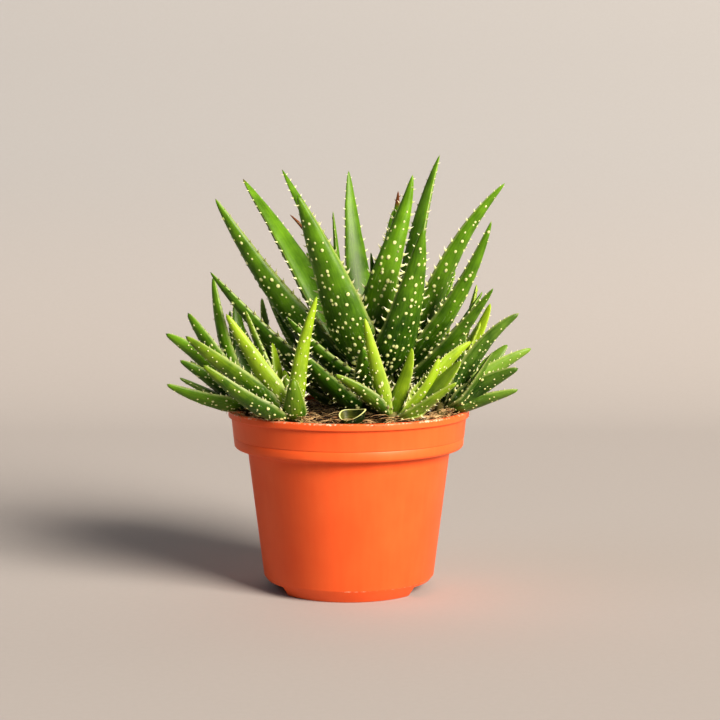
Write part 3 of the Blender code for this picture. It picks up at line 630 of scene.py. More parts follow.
def turned(profile, segments):
    """A closed profile of (radius, height) points, turned round Z."""
    bm = bmesh.new()
    corners = [bm.verts.new((radius * MM, 0, height * MM)) for radius, height in profile]
    edges = [bm.edges.new(pair) for pair in zip(corners, corners[1:])]
    bmesh.ops.spin(bm, geom=corners + edges, cent=(0, 0, 0), axis=(0, 0, 1), steps=segments,
                   angle=math.tau, use_merge=True)
    bmesh.ops.remove_doubles(bm, verts=bm.verts, dist=0.002 * MM)
    return bm


def body_radius(height):
    """Outer radius of the pot's tapered body."""
    share = (height - EDGE_Z) / (BAND_BOTTOM - EDGE_Z)
    return BODY_RADIUS_LOW + (BODY_RADIUS_TOP - BODY_RADIUS_LOW) * share


def arc(centre_r, centre_z, radius, start, end, count=5):
    """Points on a rounded corner of the pot's profile."""
    turns = [math.radians(start + (end - start) * step / count) for step in range(count + 1)]
    return [(centre_r + radius * math.cos(turn), centre_z + radius * math.sin(turn)) for turn in turns]


def pot_profile():
    """Section of the pot, from the middle of its floor, up the inside, over the lip and down."""
    floor = FLOOR_Z + WALL
    lip_low = POT_HEIGHT - LIP_HEIGHT
    inside = RIM_RADIUS - LIP_WALL
    return [
        (0.0, WALL),
        (PAD_RADIUS - WALL, WALL),
        (PAD_RADIUS + 1.4, floor),
        (body_radius(floor) - WALL - FILLET, floor),
        (body_radius(floor + FILLET) - WALL, floor + FILLET),
        (BODY_RADIUS_TOP - WALL, BAND_BOTTOM - WALL),
        (BAND_RADIUS_LOW - WALL, BAND_BOTTOM + 2 * WALL),
        *arc(inside + 0.5, POT_HEIGHT - 0.5, 0.5, 180, 90),
        *arc(RIM_RADIUS - 0.8, POT_HEIGHT - 0.8, 0.8, 90, 0),
        *arc(RIM_RADIUS - 0.6, lip_low + 0.7, 0.6, 0, -60),
        (BAND_RADIUS_TOP + 0.1, lip_low + 0.0),
        (BAND_RADIUS_TOP - 0.1, lip_low - 0.5),
        (BAND_RADIUS_LOW + 0.42, GROOVE_Z + 0.5),
        (BAND_RADIUS_LOW + 0.38, GROOVE_Z + 0.3),
        (BAND_RADIUS_LOW + 0.08, GROOVE_Z),
        (BAND_RADIUS_LOW + 0.26, GROOVE_Z - 0.35),
        *arc(BAND_RADIUS_LOW - 1.9, BAND_BOTTOM + 2.4, 1.9, 0, -80),
        (BODY_RADIUS_TOP + 1.6, BAND_BOTTOM + 0.3),
        (BODY_RADIUS_TOP + 0.5, BAND_BOTTOM - 0.4),
        (body_radius(BAND_BOTTOM - 2), BAND_BOTTOM - 2),
        (body_radius(EDGE_Z + 0.5), EDGE_Z + 0.5),
        (BODY_RADIUS_LOW - 0.4, EDGE_Z - 0.1),
        (FOOT_RADIUS + 0.3, 0.5),
        (FOOT_RADIUS - 0.3, 0.0),
        (FOOT_RADIUS - 2.4, 0.0),
        (FOOT_RADIUS - 2.0, FLOOR_Z),
        (PAD_RADIUS + 2.6, FLOOR_Z),
        (PAD_RADIUS, 0.0),
        (0.0, 0.0),
    ]


def cutter(name, bm):
    """A shape that is only used to cut, without a material or a ride."""
    bmesh.ops.recalc_face_normals(bm, faces=bm.faces)
    mesh = bpy.data.meshes.new(name)
    bm.to_mesh(mesh)
    bm.free()
    item = bpy.data.objects.new(name, mesh)
    bpy.context.scene.collection.objects.link(item)
    return item


def drain_hole(index):
    bm = bmesh.new()
    turn = math.tau * (index + 0.5) / DRAIN_HOLE_COUNT
    centre = (DRAIN_HOLE_CIRCLE * math.cos(turn) * MM, DRAIN_HOLE_CIRCLE * math.sin(turn) * MM,
              (FLOOR_Z + WALL / 2) * MM)
    bmesh.ops.create_cone(bm, cap_ends=True, segments=32, radius1=DRAIN_HOLE_RADIUS * MM,
                          radius2=DRAIN_HOLE_RADIUS * MM, depth=(WALL + 2 * CUT_OVERRUN) * MM,
                          matrix=Matrix.Translation(centre))
    return cutter(f"drain_hole_{index + 1}", bm)


def foot_recess(name, facing):
    """A sector of a ring that opens the foot on one side."""
    bm = bmesh.new()
    start = math.radians(facing - FOOT_RECESS_HALF_ANGLE)
    low = -CUT_OVERRUN * MM
    high = (FLOOR_Z - 0.4) * MM
    inner = FOOT_RECESS_INNER_RADIUS * MM
    outer = RIM_RADIUS * MM
    corners = [bm.verts.new(point) for point in
               ((inner, 0, low), (outer, 0, low), (outer, 0, high), (inner, 0, high))]
    face = bm.faces.new(corners)
    bmesh.ops.rotate(bm, verts=corners, cent=(0, 0, 0), matrix=Matrix.Rotation(start, 3, "Z"))
    bmesh.ops.spin(bm, geom=[face], cent=(0, 0, 0), axis=(0, 0, 1), steps=26,
                   angle=math.radians(2 * FOOT_RECESS_HALF_ANGLE))
    return cutter(name, bm)


def carve(piece, cutters):
    """Cut each cutter out of a piece, apply the result and remove the cutters."""
    for item in cutters:
        boolean = piece.modifiers.new(item.name, "BOOLEAN")
        boolean.operation = "DIFFERENCE"
        boolean.object = item
    graph = bpy.context.evaluated_depsgraph_get()
    mesh = bpy.data.meshes.new_from_object(piece.evaluated_get(graph))
    piece.modifiers.clear()
    piece.data = mesh
    mesh.set_sharp_from_angle(angle=math.radians(40))
    for item in cutters:
        bpy.data.objects.remove(item, do_unlink=True)


def soil_height(x, y):
    """Height of the soil's surface at a point, all in millimetres."""
    spot = Vector((x, y, 0))
    inward = max(0.0, 1 - spot.length / SOIL_RADIUS)
    lumps = 1.3 * noise.noise(spot / 14) + 0.9 * noise.noise(spot / 5) + 0.45 * noise.noise(spot / 1.9)
    edge = min(1.0, (SOIL_RADIUS - spot.length) / 3)
    return SOIL_TOP + SOIL_MOUND * inward + lumps - 1.2 * (1 - edge)


def root_radius(leaf):
    """Distance of a leaf's root from the stem's axis, where its upper edge just clears the skin."""
    above = max(0.0, leaf.root - STEM_DOME_Z)
    lean = UPPER_SHARE * ROOT_THICKNESS_SHARE * leaf.thick * math.sin(math.radians(leaf.rise_root))
    reach = STEM_RADIUS + GAP
    return math.sqrt(max(0.0, reach * reach - above * above)) + lean


def leaf_curve(leaf, x, y, start_radius):
    """Centre line of a leaf as a function of the share of its length, in millimetres."""
    turn = math.radians(leaf.azimuth)
    outward = Vector((math.cos(turn), math.sin(turn), 0))
    side = Vector((-math.sin(turn), math.cos(turn), 0))
    axis = Vector((x, y, 0))
    root = axis + outward * start_radius + Vector((0, 0, leaf.root))
    tip = axis + outward * leaf.reach + side * leaf.sway + Vector((0, 0, leaf.height))
    span = (tip - root).length * BEND_REACH
    flat = Vector((tip.x - root.x, tip.y - root.y, 0))
    tipward = flat.normalized() if flat.length > UPRIGHT_LIMIT else outward

    def heading(level, rise):
        return level * math.cos(math.radians(rise)) + Vector((0, 0, math.sin(math.radians(rise))))

    after_root = root + heading(outward, leaf.rise_root) * span
    before_tip = tip - heading(tipward, leaf.rise_tip) * span

    def point(share):
        rest = 1 - share
        return (root * rest ** 3 + after_root * 3 * rest * rest * share
                + before_tip * 3 * rest * share * share + tip * share ** 3)

    def frame_at(share):
        ahead = point(min(1, share + TANGENT_STEP))
        along = (ahead - point(max(0, share - TANGENT_STEP))).normalized()
        across = (side - along * side.dot(along)).normalized()
        across.rotate(Quaternion(along, math.radians(leaf.roll) * min(1, share / ROLL_FULL_AT)))
        return point(share), along, across, along.cross(across)

    return frame_at


def leaf_girth(share, taper=TAPER_POWER):
    """Width and thickness of a leaf at a share of its length, as shares of their largest."""
    if share < WIDEST_AT:
        swell = math.sin(math.pi / 2 * share / WIDEST_AT)
        width = ROOT_WIDTH_SHARE + (1 - ROOT_WIDTH_SHARE) * swell
        thickness = ROOT_THICKNESS_SHARE + (1 - ROOT_THICKNESS_SHARE) * swell
        return width, thickness
    rest = max(0.0, (1 - share) / (1 - WIDEST_AT))
    return rest ** taper, rest ** (taper * 0.8)


class Skin:
    """The skin of one leaf: where it lies in space, and its own flat coordinates."""

    def __init__(self, leaf, x, y, start_radius, taper=TAPER_POWER):
        self.leaf = leaf
        self.taper = taper
        self.frame_at = leaf_curve(leaf, x, y, start_radius)
        steps = [self.frame_at(step / 12)[0] for step in range(13)]
        self.length = sum((after - before).length for before, after in zip(steps, steps[1:]))
        self.shift = Vector((leaf.azimuth, leaf.height, leaf.reach))

    def section(self, share, angle):
        """Offsets across and up from the centre line, in millimetres."""
        width, thickness = leaf_girth(share, self.taper)
        turn = math.radians(angle)
        lift = math.sin(turn)
        depth = UPPER_SHARE * FACE_FULLNESS if lift > 0 else LOWER_SHARE
        across = self.leaf.width * width / 2 * math.cos(turn)
        return across, self.leaf.thick * thickness * depth * lift

    def point(self, share, angle):
        """A point of the skin and its flat coordinates, in millimetres."""
        centre, along, across, up = self.frame_at(share)
        sideways, lift = self.section(share, angle)
        flat = Vector((share * self.length, sideways, lift))
        swell = 1 + 0.05 * noise.noise((flat + self.shift) / 7) * min(1, 8 * (1 - share))
        place = centre + across * sideways * swell + up * lift * swell
        return Vector([min(max(value, low / MM), high / MM) for value, low, high in zip(place, *CAD_BOX)]), flat

    def outward(self, share, angle):
        """Direction that the skin faces."""
        centre, along, across, up = self.frame_at(share)
        width, thickness = leaf_girth(share, self.taper)
        turn = math.radians(angle)
        depth = UPPER_SHARE * FACE_FULLNESS if math.sin(turn) > 0 else LOWER_SHARE
        lean = across * math.cos(turn) * self.leaf.thick * max(thickness, 0.05) * depth
        rise = up * math.sin(turn) * self.leaf.width * max(width, 0.05) / 2
        return (lean + rise).normalized()


def spike_pattern(sides, rings, root, thin, hook):
    """A hooked spike one unit long on +Z that leans to +X, with its root sunk below zero."""
    def place(share, corner):
        turn = math.tau * corner / sides
        size = max(0.0, 1 - share) ** 0.8
        forward = hook * share * share
        return Vector((root * size * math.cos(turn) + forward, thin * size * math.sin(turn),
                       share * 1.15 - 0.15))
    bm = wrapped_grid(rings, sides, place)
    close_tube(bm)
    bmesh.ops.recalc_face_normals(bm, faces=bm.faces)
    return bm


def spot_pattern():
    """A low round dome of radius one, with its root sunk below zero."""
    def place(share, corner):
        turn = math.tau * corner / 10
        rise = math.radians(115 * share - 25)
        return Vector((math.cos(rise) * math.cos(turn), math.cos(rise) * math.sin(turn), math.sin(rise)))
    bm = wrapped_grid(4, 10, place)
    close_tube(bm)
    bmesh.ops.recalc_face_normals(bm, faces=bm.faces)
    return bm


class LeafPatterns:
    """The shapes that are repeated on every leaf, made once."""

    def __init__(self):
        self.tooth = self.keep(spike_pattern(6, 4, TOOTH_ROOT / TOOTH_LENGTH,
                                             TOOTH_THIN / TOOTH_LENGTH, HOOK))
        self.spine = self.keep(spike_pattern(5, 3, 0.3, 0.3, 0.5))
        self.spot = self.keep(spot_pattern())

    def keep(self, bm):
        mesh = bpy.data.meshes.new("pattern")
        bm.to_mesh(mesh)
        bm.free()
        return mesh

    def forget(self):
        for mesh in (self.tooth, self.spine, self.spot):
            bpy.data.meshes.remove(mesh)


class Growth:
    """A growing leaf or offset: one bmesh and the values that its material reads."""

    def __init__(self):
        self.bm = bmesh.new()
        self.along = self.bm.verts.layers.float.new("along")
        self.spot = self.bm.verts.layers.float.new("spot")
        self.tone = self.bm.verts.layers.float.new("tone")
        self.dry = self.bm.verts.layers.float.new("dry")
        self.skin = self.bm.verts.layers.float_vector.new("skin")

    def take(self, part, values):
        """Add a part; values(vertex) gives (along, spot, flat) before it is placed."""
        along = part.verts.layers.float.new("along")
        spot = part.verts.layers.float.new("spot")
        skin = part.verts.layers.float_vector.new("skin")
        for vertex in part.verts:
            vertex[along], vertex[spot], vertex[skin] = values(vertex)
        absorb(self.bm, part)

    def stamp(self, pattern, skin, share, angle, outward, size, low, high):
        """Put a pattern on a skin. Its spot value runs from low at its root to high at its end."""
        start = len(self.bm.verts)
        point, flat = skin.point(share, angle)
        along = skin.frame_at(share)[1]
        forward = (along - outward * along.dot(outward)).normalized()
        end = (point + outward * size.z + forward * size.z * HOOK) * MM
        if not all(low < place < high for low, place, high in zip(CAD_BOX[0], end, CAD_BOX[1])):
            return
        aside = outward.cross(forward)
        turn = Matrix((forward, aside, outward)).transposed().to_4x4()
        copy = pattern.copy()
        heights = [vertex.co.z for vertex in copy.vertices]
        copy.transform(Matrix.Translation(point * MM) @ turn @ Matrix.Diagonal((*(size * MM), 1)))
        self.bm.from_mesh(copy)
        bpy.data.meshes.remove(copy)
        self.bm.verts.ensure_lookup_table()
        top = max(heights)
        for number, height in enumerate(heights):
            vertex = self.bm.verts[start + number]
            vertex[self.along] = share
            vertex[self.spot] = low + (high - low) * max(0.0, height / top)
            vertex[self.skin] = flat

    def paint(self, start, tone, dry_from):
        """Set the tone, and how dry each point is, of all points added since start."""
        self.bm.verts.ensure_lookup_table()
        for vertex in self.bm.verts[start:]:
            vertex[self.tone] = tone
            vertex[self.dry] = min(1.0, max(0.0, (vertex[self.along] - dry_from) / DRY_BLEND))


def grow_leaf(growth, patterns, skin, rings, sides, habit, tone, dry_from, seed):
    """One leaf with its teeth, spots and spines."""
    start = len(growth.bm.verts)
    flats = []

    def place(share, corner):
        # Rings crowd towards the root and the tip, where the shape turns fastest
        eased = share - 0.06 * math.sin(math.tau * share)
        point, flat = skin.point(eased, 360 * corner / sides)
        on_margin = corner % (sides // 2) == 0
        flats.append((eased, flat, MARGIN_PALENESS if on_margin else 0.0))
        return point * MM

    bm = wrapped_grid(rings, sides, place)
    along = bm.verts.layers.float.new("along")
    spot = bm.verts.layers.float.new("spot")
    flat_layer = bm.verts.layers.float_vector.new("skin")
    for vertex, (share, flat, pale) in zip(bm.verts, flats):
        vertex[along] = share
        vertex[spot] = pale
        vertex[flat_layer] = flat
    close_tube(bm)
    absorb(growth.bm, bm)
    chance = random.Random(seed)
    grow_teeth(growth, patterns, skin, habit, chance)
    grow_spots(growth, patterns, skin, habit, chance)
    growth.paint(start, tone, dry_from)


def grow_teeth(growth, patterns, skin, habit, chance):
    """Hooked teeth on both margins, larger and closer near the root."""
    for margin in (0.0, 180.0):
        distance = habit.tooth_pitch * chance.uniform(0.6, 1.4)
        while distance < skin.length * 0.985:
            share = distance / skin.length
            outward = skin.outward(share, margin)
            lean = skin.frame_at(share)[3]
            outward = (outward + lean * chance.uniform(-0.35, 0.15)).normalized()
            length = habit.tooth_length * (1 - 0.74 * share) * chance.uniform(0.7, 1.1)
            size = Vector((length, length, length))
            growth.stamp(patterns.tooth, skin, share, margin, outward, size, TOOTH_PALE_FROM, 2.4)
            distance += habit.tooth_pitch * chance.uniform(0.7, 1.3) * (1.15 - 0.5 * share)


def grow_spots(growth, patterns, skin, habit, chance):
    """Pale raised spots on the back of the leaf, and a few on its face near the root."""
    distance = habit.spot_pitch * 0.8
    while distance < skin.length * 0.96:
        share = distance / skin.length
        crowding = 0.72 + 0.5 * share
        width = skin.leaf.width * leaf_girth(share, skin.taper)[0]
        count = max(1, round(width * 1.05 / habit.spot_pitch / crowding))
        for number in range(count):
            across = ((number + chance.uniform(0.15, 0.85)) / count * 2 - 1) * 0.93
            here = min(0.97, max(0.02, share + chance.uniform(-0.45, 0.45) * habit.spot_pitch / skin.length))
            back = chance.random() < 0.86
            if not back and (here > 0.5 or chance.random() < 0.45):
                continue
            angle = math.degrees(math.acos(across))
            angle = 360 - angle if back else angle
            outward = skin.outward(here, angle)
            radius = habit.spot_radius * chance.triangular(0.3, 1.2, 0.65) * (1.1 - 0.35 * here)
            height = SPOT_HEIGHT * chance.uniform(0.7, 1.3) * radius / SPOT_RADIUS
            size = Vector((radius * chance.uniform(1.0, 1.35), radius, height))
            growth.stamp(patterns.spot, skin, here, angle, outward, size, 0.1, 1.15)
            if chance.random() < habit.spine_chance:
                length = habit.spine_length * chance.uniform(0.6, 1.2)
                growth.stamp(patterns.spine, skin, here, angle, outward, Vector((length,) * 3), 1.0, 2.0)
        distance += habit.spot_pitch * crowding * chance.uniform(0.85, 1.15)


Habit = namedtuple("Habit", "tooth_pitch tooth_length spot_pitch spot_radius spine_length spine_chance")

# The low front leaf that bristles all over
BRISTLING = {"leaf_18": Habit(2.6, 4.6, 3.0, 0.75, 2.6, 0.95)}


class ALOE_OT_pot(bpy.types.Operator):
    """Moulded pot with its lip, grooved band, foot recesses and drain holes"""
    bl_idname = "aloe.pot"
    bl_label = "Pot"

    def execute(self, context):
        settings = context.scene.aloe_pot
        piece = finished("moulded_pot", turned(pot_profile(), settings.facets), moulded_polypropylene(settings))
        cutters = [drain_hole(index) for index in range(DRAIN_HOLE_COUNT)]
        cutters += [foot_recess("foot_recess_left", 180.0), foot_recess("foot_recess_right", 0.0)]
        carve(piece, cutters)
        stand_for("pot")
        return {"FINISHED"}


class ALOE_OT_soil(bpy.types.Operator):
    """Uneven top of the potting soil"""
    bl_idname = "aloe.soil"
    bl_label = "Soil"

    def execute(self, context):
        rings = 46
        profile = [(SOIL_RADIUS * ring / rings, SOIL_TOP) for ring in range(rings + 1)]
        profile += [(SOIL_RADIUS - 0.8, SOIL_TOP - SOIL_DEPTH), (0.0, SOIL_TOP - SOIL_DEPTH)]
        bm = turned(profile, 120)
        for vertex in bm.verts:
            if vertex.co.z > (SOIL_TOP - 1) * MM:
                vertex.co.z = soil_height(vertex.co.x / MM, vertex.co.y / MM) * MM
        piece = finished("potting_soil", bm, moist_peat(context.scene.aloe_soil), 80.0)
        stand_for("soil")
        return {"FINISHED"}


def clear_of_stems(x, y):
    """Whether a place on the soil is outside every stem and root stock."""
    stems = [(PLANT_X, PLANT_Y, STEM_RADIUS)] + [(pup.x, pup.y, pup.radius) for pup in PUPS]
    return all(math.hypot(x - sx, y - sy) > radius for sx, sy, radius in stems)


def place_on_soil(chance, reach):
    """A random place on the soil, evenly spread."""
    while True:
        x = chance.uniform(-reach, reach)
        y = chance.uniform(-reach, reach)
        if math.hypot(x, y) < reach and clear_of_stems(x, y):
            return x, y


class ALOE_OT_litter(bpy.types.Operator):
    """Bark crumbs and coir strands that lie on the soil"""
    bl_idname = "aloe.litter"
    bl_label = "Bark and coir"

    def execute(self, context):
        settings = context.scene.aloe_soil
        chance = random.Random(11)
        crumbs = bmesh.new()
        for number in range(settings.crumbs):
            x, y = place_on_soil(chance, SOIL_RADIUS - 2)
            size = chance.uniform(*CRUMB_SIZES) * chance.uniform(0.6, 1.0)
            turn = Quaternion((chance.gauss(0, 1), chance.gauss(0, 1), chance.gauss(0, 1)), chance.uniform(0, 6))
            shape = Matrix.Diagonal((size, size * chance.uniform(0.4, 0.8), size * chance.uniform(0.25, 0.6), 1 / MM))
            place = Matrix.Translation((x * MM, y * MM, (soil_height(x, y) + 0.2) * MM))
            part = bmesh.new()
            bmesh.ops.create_icosphere(part, subdivisions=1, radius=1.0)
            bmesh.ops.transform(part, matrix=place @ turn.to_matrix().to_4x4() @ (shape * MM), verts=part.verts)
            absorb(crumbs, part)
        bark = plant_litter("composted_bark", settings.bark, settings.peat, 0.8)
        piece = finished("bark_crumbs", crumbs, bark, 30.0)

        strands = bmesh.new()
        for number in range(settings.fibres):
            absorb(strands, lying_strand(chance))
        for number in range(RIM_FIBRE_COUNT):
            absorb(strands, rim_strand(chance))
        coir = plant_litter("coir_fibre", linear("#e8c998"), linear("#84582f"), 1.2)
        piece = finished("coir_strands", strands, coir, 180.0)
        return {"FINISHED"}


def coir_strand(points, radius):
    """A thin strand through a list of points, pinched shut at both ends."""
    last = len(points) - 1

    def place(share, corner):
        step = round(share * last)
        along = (points[min(last, step + 1)] - points[max(0, step - 1)]).normalized()
        side = along.orthogonal().normalized()
        if abs(along.z) < 0.95:
            side = along.cross(Vector((0, 0, 1))).normalized()
        turn = math.tau * corner / 4
        size = radius * min(1.0, 4 * share * (1 - share) + 0.25) if 0 < step < last else 0.0
        return (points[step] + side * size * math.cos(turn) + side.cross(along) * size * math.sin(turn)) * MM

    bm = wrapped_grid(last, 4, place)
    close_tube(bm)
    return bm


def lying_strand(chance):
    """A curved strand that lies on the soil and lifts a little between its ends."""
    x, y = place_on_soil(chance, SOIL_RADIUS - 1)
    length = chance.uniform(*FIBRE_LENGTHS)
    heading = chance.uniform(0, math.tau)
    bend = chance.gauss(0, 1.6)
    lift = chance.uniform(0.3, 3.2) + 3.0 * max(0.0, math.hypot(x, y) / SOIL_RADIUS - 0.75)
    points = []
    for step in range(FIBRE_STEPS + 1):
        height = max(soil_height(x, y), SOIL_TOP - 1) + 0.1 + lift * math.sin(math.pi * step / FIBRE_STEPS)
        points.append(Vector((x, y, height)))
        heading += bend / FIBRE_STEPS + chance.gauss(0, 0.12)
        x += math.cos(heading) * length / FIBRE_STEPS
        y += math.sin(heading) * length / FIBRE_STEPS
        if math.hypot(x, y) > SOIL_RADIUS - 0.5:
            heading += 0.9
            x *= 0.96
            y *= 0.96
    return coir_strand(points, chance.uniform(*FIBRE_RADII))


def rim_strand(chance):
    """A strand that climbs from the soil to the rim; a few hang over it."""
    turn = chance.uniform(0, math.tau)
    drift = chance.gauss(0, 0.22)
    start = chance.uniform(48.0, 54.0)
    hangs = chance.random() < RIM_FIBRE_HANGING
    end = RIM_RADIUS + chance.uniform(0.5, 1.3) if hangs else RIM_RADIUS - chance.uniform(2.0, 5.0)
    top = POT_HEIGHT + chance.uniform(0.4, 1.6) + (0.6 if hangs else chance.uniform(0.0, 2.5))
    drop = chance.uniform(0.5, 4.5) if hangs else chance.uniform(0.0, 2.0)
    points = []
    for step in range(FIBRE_STEPS + 1):
        share = step / FIBRE_STEPS
        reach = start + (end - start) * math.sin(min(1.0, share * 1.25) * math.pi / 2)
        rise = math.sin(min(1.0, share * 1.6) * math.pi / 2)
        height = SOIL_TOP + (top - SOIL_TOP) * rise - drop * max(0.0, (share - 0.72) / 0.28) ** 1.5
        angle = turn + drift * share + 0.03 * math.sin(9 * share + 40 * drift)
        points.append(Vector((reach * math.cos(angle), reach * math.sin(angle), height)))
    return coir_strand(points, chance.uniform(*RIM_FIBRE_RADII))


class ALOE_OT_stem(bpy.types.Operator):
    """Short stout stem under the main rosette"""
    bl_idname = "aloe.stem"
    bl_label = "Stem"

    def execute(self, context):
        foot = SOIL_TOP - 8.0
        profile = [(STEM_RADIUS * math.cos(math.radians(turn)), STEM_DOME_Z + STEM_RADIUS * math.sin(math.radians(turn)))
                   for turn in range(90, -1, -10)]
        profile[0] = (0.0, profile[0][1])
        steps = 8
        profile += [(STEM_RADIUS, STEM_DOME_Z + (foot - STEM_DOME_Z) * step / steps) for step in range(1, steps + 1)]
        profile += [(0.0, foot)]
        bm = turned(profile, 48)
        for vertex in bm.verts:
            ripple = 1 + 0.03 * noise.noise(Vector((0, 0, vertex.co.z / MM / 2.5)) + vertex.co / MM / 9)
            vertex.co.x *= ripple
            vertex.co.y *= ripple
        bmesh.ops.translate(bm, verts=bm.verts, vec=(PLANT_X * MM, PLANT_Y * MM, 0))
        skin = plant_litter("corky_stem_skin", linear("#5d6f24"), linear("#27380c"), 1.5)
        piece = finished("stout_stem", bm, skin)
        stand_for("stem")
        return {"FINISHED"}


class ALOE_OT_main_leaves(bpy.types.Operator):
    """The large leaves of the main rosette"""
    bl_idname = "aloe.main_leaves"
    bl_label = "Main leaves"

    def execute(self, context):
        settings = context.scene.aloe_leaves
        cuticle = aloe_cuticle("waxy_leaf_cuticle", settings, settings.deep, settings.fresh)
        patterns = LeafPatterns()
        for number, (name, leaf) in enumerate(MAIN_LEAVES.items()):
            small = min(1.0, 0.45 + 0.55 * leaf.width / 18)
            spiny = SMALL_TOOTH_SHARE if name in SMALL_TOOTHED else SPINY_SHARE if name in SPINY else 1.0
            habit = Habit(TOOTH_PITCH * (0.6 + 0.4 * small) * (1.3 - 0.3 * spiny),
                          settings.tooth_length / MM * small * spiny, SPOT_PITCH * (0.7 + 0.3 * small),
                          settings.spot_radius / MM * small, SPINE_LENGTH * spiny, 0.4 * spiny)
            habit = BRISTLING.get(name, habit)
            growth = Growth()
            skin = Skin(leaf, PLANT_X, PLANT_Y, root_radius(leaf))
            grow_leaf(growth, patterns, skin, settings.rings, settings.sides, habit,
                      LEAF_TONE.get(name, COMMON_TONE), DRY_FROM.get(name, NEVER_DRY), 100 + number)
            piece = finished(f"{name}_grown", growth.bm, cuticle, 60.0)
            stand_for(name)
        patterns.forget()
        return {"FINISHED"}


class ALOE_OT_offsets(bpy.types.Operator):
    """The young offsets round the main plant"""
    bl_idname = "aloe.offsets"
    bl_label = "Offsets"

    def execute(self, context):
        settings = context.scene.aloe_leaves
        young = settings.offset_lime
        skins = {
            LIME: aloe_cuticle("young_lime_cuticle", settings, settings.offset_deep, young),
            FRESH: aloe_cuticle("young_green_cuticle", settings, settings.offset_deep, settings.fresh),
            GREY_GREEN: aloe_cuticle("young_deep_cuticle", settings, settings.deep, settings.shaded),
        }
        patterns = LeafPatterns()
        habit = Habit(PUP_TOOTH_PITCH, PUP_TOOTH_LENGTH, PUP_SPOT_PITCH, PUP_SPOT_RADIUS, PUP_SPINE_LENGTH, 0.55)
        for number, pup in enumerate(PUPS):
            growth = Growth()
            grow_stock(growth, pup)
            for order, leaf in enumerate(pup.leaves):
                skin = Skin(leaf, pup.x, pup.y, PUP_LEAF_START + PUP_LEAF_STEP * order, PUP_TAPER_POWER)
                tones = OFFSET_TONES.get(pup.name, ())
                chance = random.Random(700 + 20 * number + order)
                tone = tones[order] if order < len(tones) else chance.uniform(0.15, 0.6)
                pitch, length = SERRATED.get((pup.name, order), (PUP_TOOTH_PITCH, PUP_TOOTH_LENGTH))
                edged = habit._replace(tooth_pitch=pitch, tooth_length=length)
                grow_leaf(growth, patterns, skin, 26, 14, edged, tone, NEVER_DRY, 900 + 20 * number + order)
            piece = finished(f"{pup.name}_grown", growth.bm, skins[pup.colour], 60.0)
            stand_for(pup.name)
        patterns.forget()
        return {"FINISHED"}


def grow_stock(growth, pup):
    """The short root stock of an offset, in one dark, partly dry tone with a faint pale cast."""
    foot = SOIL_TOP - 8.0
    rings = 14

    def place(share, corner):
        turn = math.tau * corner / 16
        radius = pup.radius * (1 - 0.3 * share) * math.sqrt(max(0.0, 1 - max(0.0, share / 0.35 - 1.86) ** 2))
        if share < 0.5 / rings or share > 1 - 0.5 / rings:
            radius = 0.0
        height = foot + (pup.top - foot) * min(1.0, max(0.0, (share - 0.1) / 0.8))
        return Vector((pup.x + radius * math.cos(turn), pup.y + radius * math.sin(turn), height)) * MM

    bm = wrapped_grid(rings, 16, place)
    close_tube(bm)
    start = len(growth.bm.verts)
    growth.take(bm, lambda vertex: (0.0, 0.25, vertex.co / MM))
    growth.paint(start, 0.1, -STOCK_DRYNESS * DRY_BLEND)


class ALOE_OT_cut_leaf(bpy.types.Operator):
    """The curled stub of a leaf that was cut off"""
    bl_idname = "aloe.cut_leaf"
    bl_label = "Cut leaf"

    def execute(self, context):
        low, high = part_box("cut_leaf")
        settings = context.scene.aloe_leaves
        middle = (low + high) / 2 / MM
        foot = SOIL_TOP - 3.0
        rings = 48
        sides = 48

        def rim(turn):
            """The torn edge: long from side to side, pinched and lifted at its right end."""
            pinch = (0.5 + 0.5 * math.cos(turn)) ** 3
            side = math.sin(turn) * (1 - 0.85 * pinch)
            return Vector((6.0 * math.cos(turn) + 0.9 * pinch, 3.6 * side,
                           high.z / MM - 3.6 + 2.5 * side + 2.6 * pinch + 0.3 * math.sin(3 * turn)))

        def place(share, corner):
            # Down the outside, round the foot, and up the inside of an open fold of leaf skin
            turn = math.tau * corner / sides
            rise = abs(1 - 2 * share)
            edge = rim(turn)
            spread = 0.34 + 0.66 * rise ** 0.55
            if share > 0.5:
                spread = max(0.0, spread - CUT_WALL / 4 * (0.5 + 0.5 * (1 - rise)))
                base = foot + 1.5
            else:
                base = foot
            if share == 0.5:
                spread = 0.0
            return Vector((middle.x + edge.x * spread, middle.y + edge.y * spread,
                           base + (edge.z - base) * rise)) * MM

        bm = wrapped_grid(rings, sides, place)
        bmesh.ops.remove_doubles(bm, verts=bm.verts, dist=0.002 * MM)
        rims = [edge for edge in bm.edges if edge.is_boundary]
        torn_lit_rim = {vertex for edge in rims for vertex in edge.verts}
        # The inside of the fold is painted shade: its along value of 0 gives it the darkest tone, and the pale mineral
        # flecks there stand in for painted highlights on a wet hollow. The torn rim is painted pale, both as a pale
        # cut edge and as painted light on the lit rim.
        painted_dark_hollow = {vertex for vertex in bm.verts if vertex.index > (rings + 1) * sides // 2}
        values = [(0.0 if vertex in painted_dark_hollow else 0.8, 0.8 if vertex in torn_lit_rim else 0.0) for vertex in bm.verts]
        bmesh.ops.bridge_loops(bm, edges=rims)
        growth = Growth()
        waiting = iter(values)
        growth.take(bm, lambda vertex: (*next(waiting), vertex.co / MM))
        growth.paint(0, 0.1, NEVER_DRY)
        # The darkest green here, #142406, is the painted shade inside the hollow
        skin = aloe_cuticle("cut_leaf_cuticle", settings, linear("#142406"), linear("#8f9238"))
        piece = finished("cut_leaf_stub", growth.bm, skin)
        stand_for("cut_leaf")
        return {"FINISHED"}


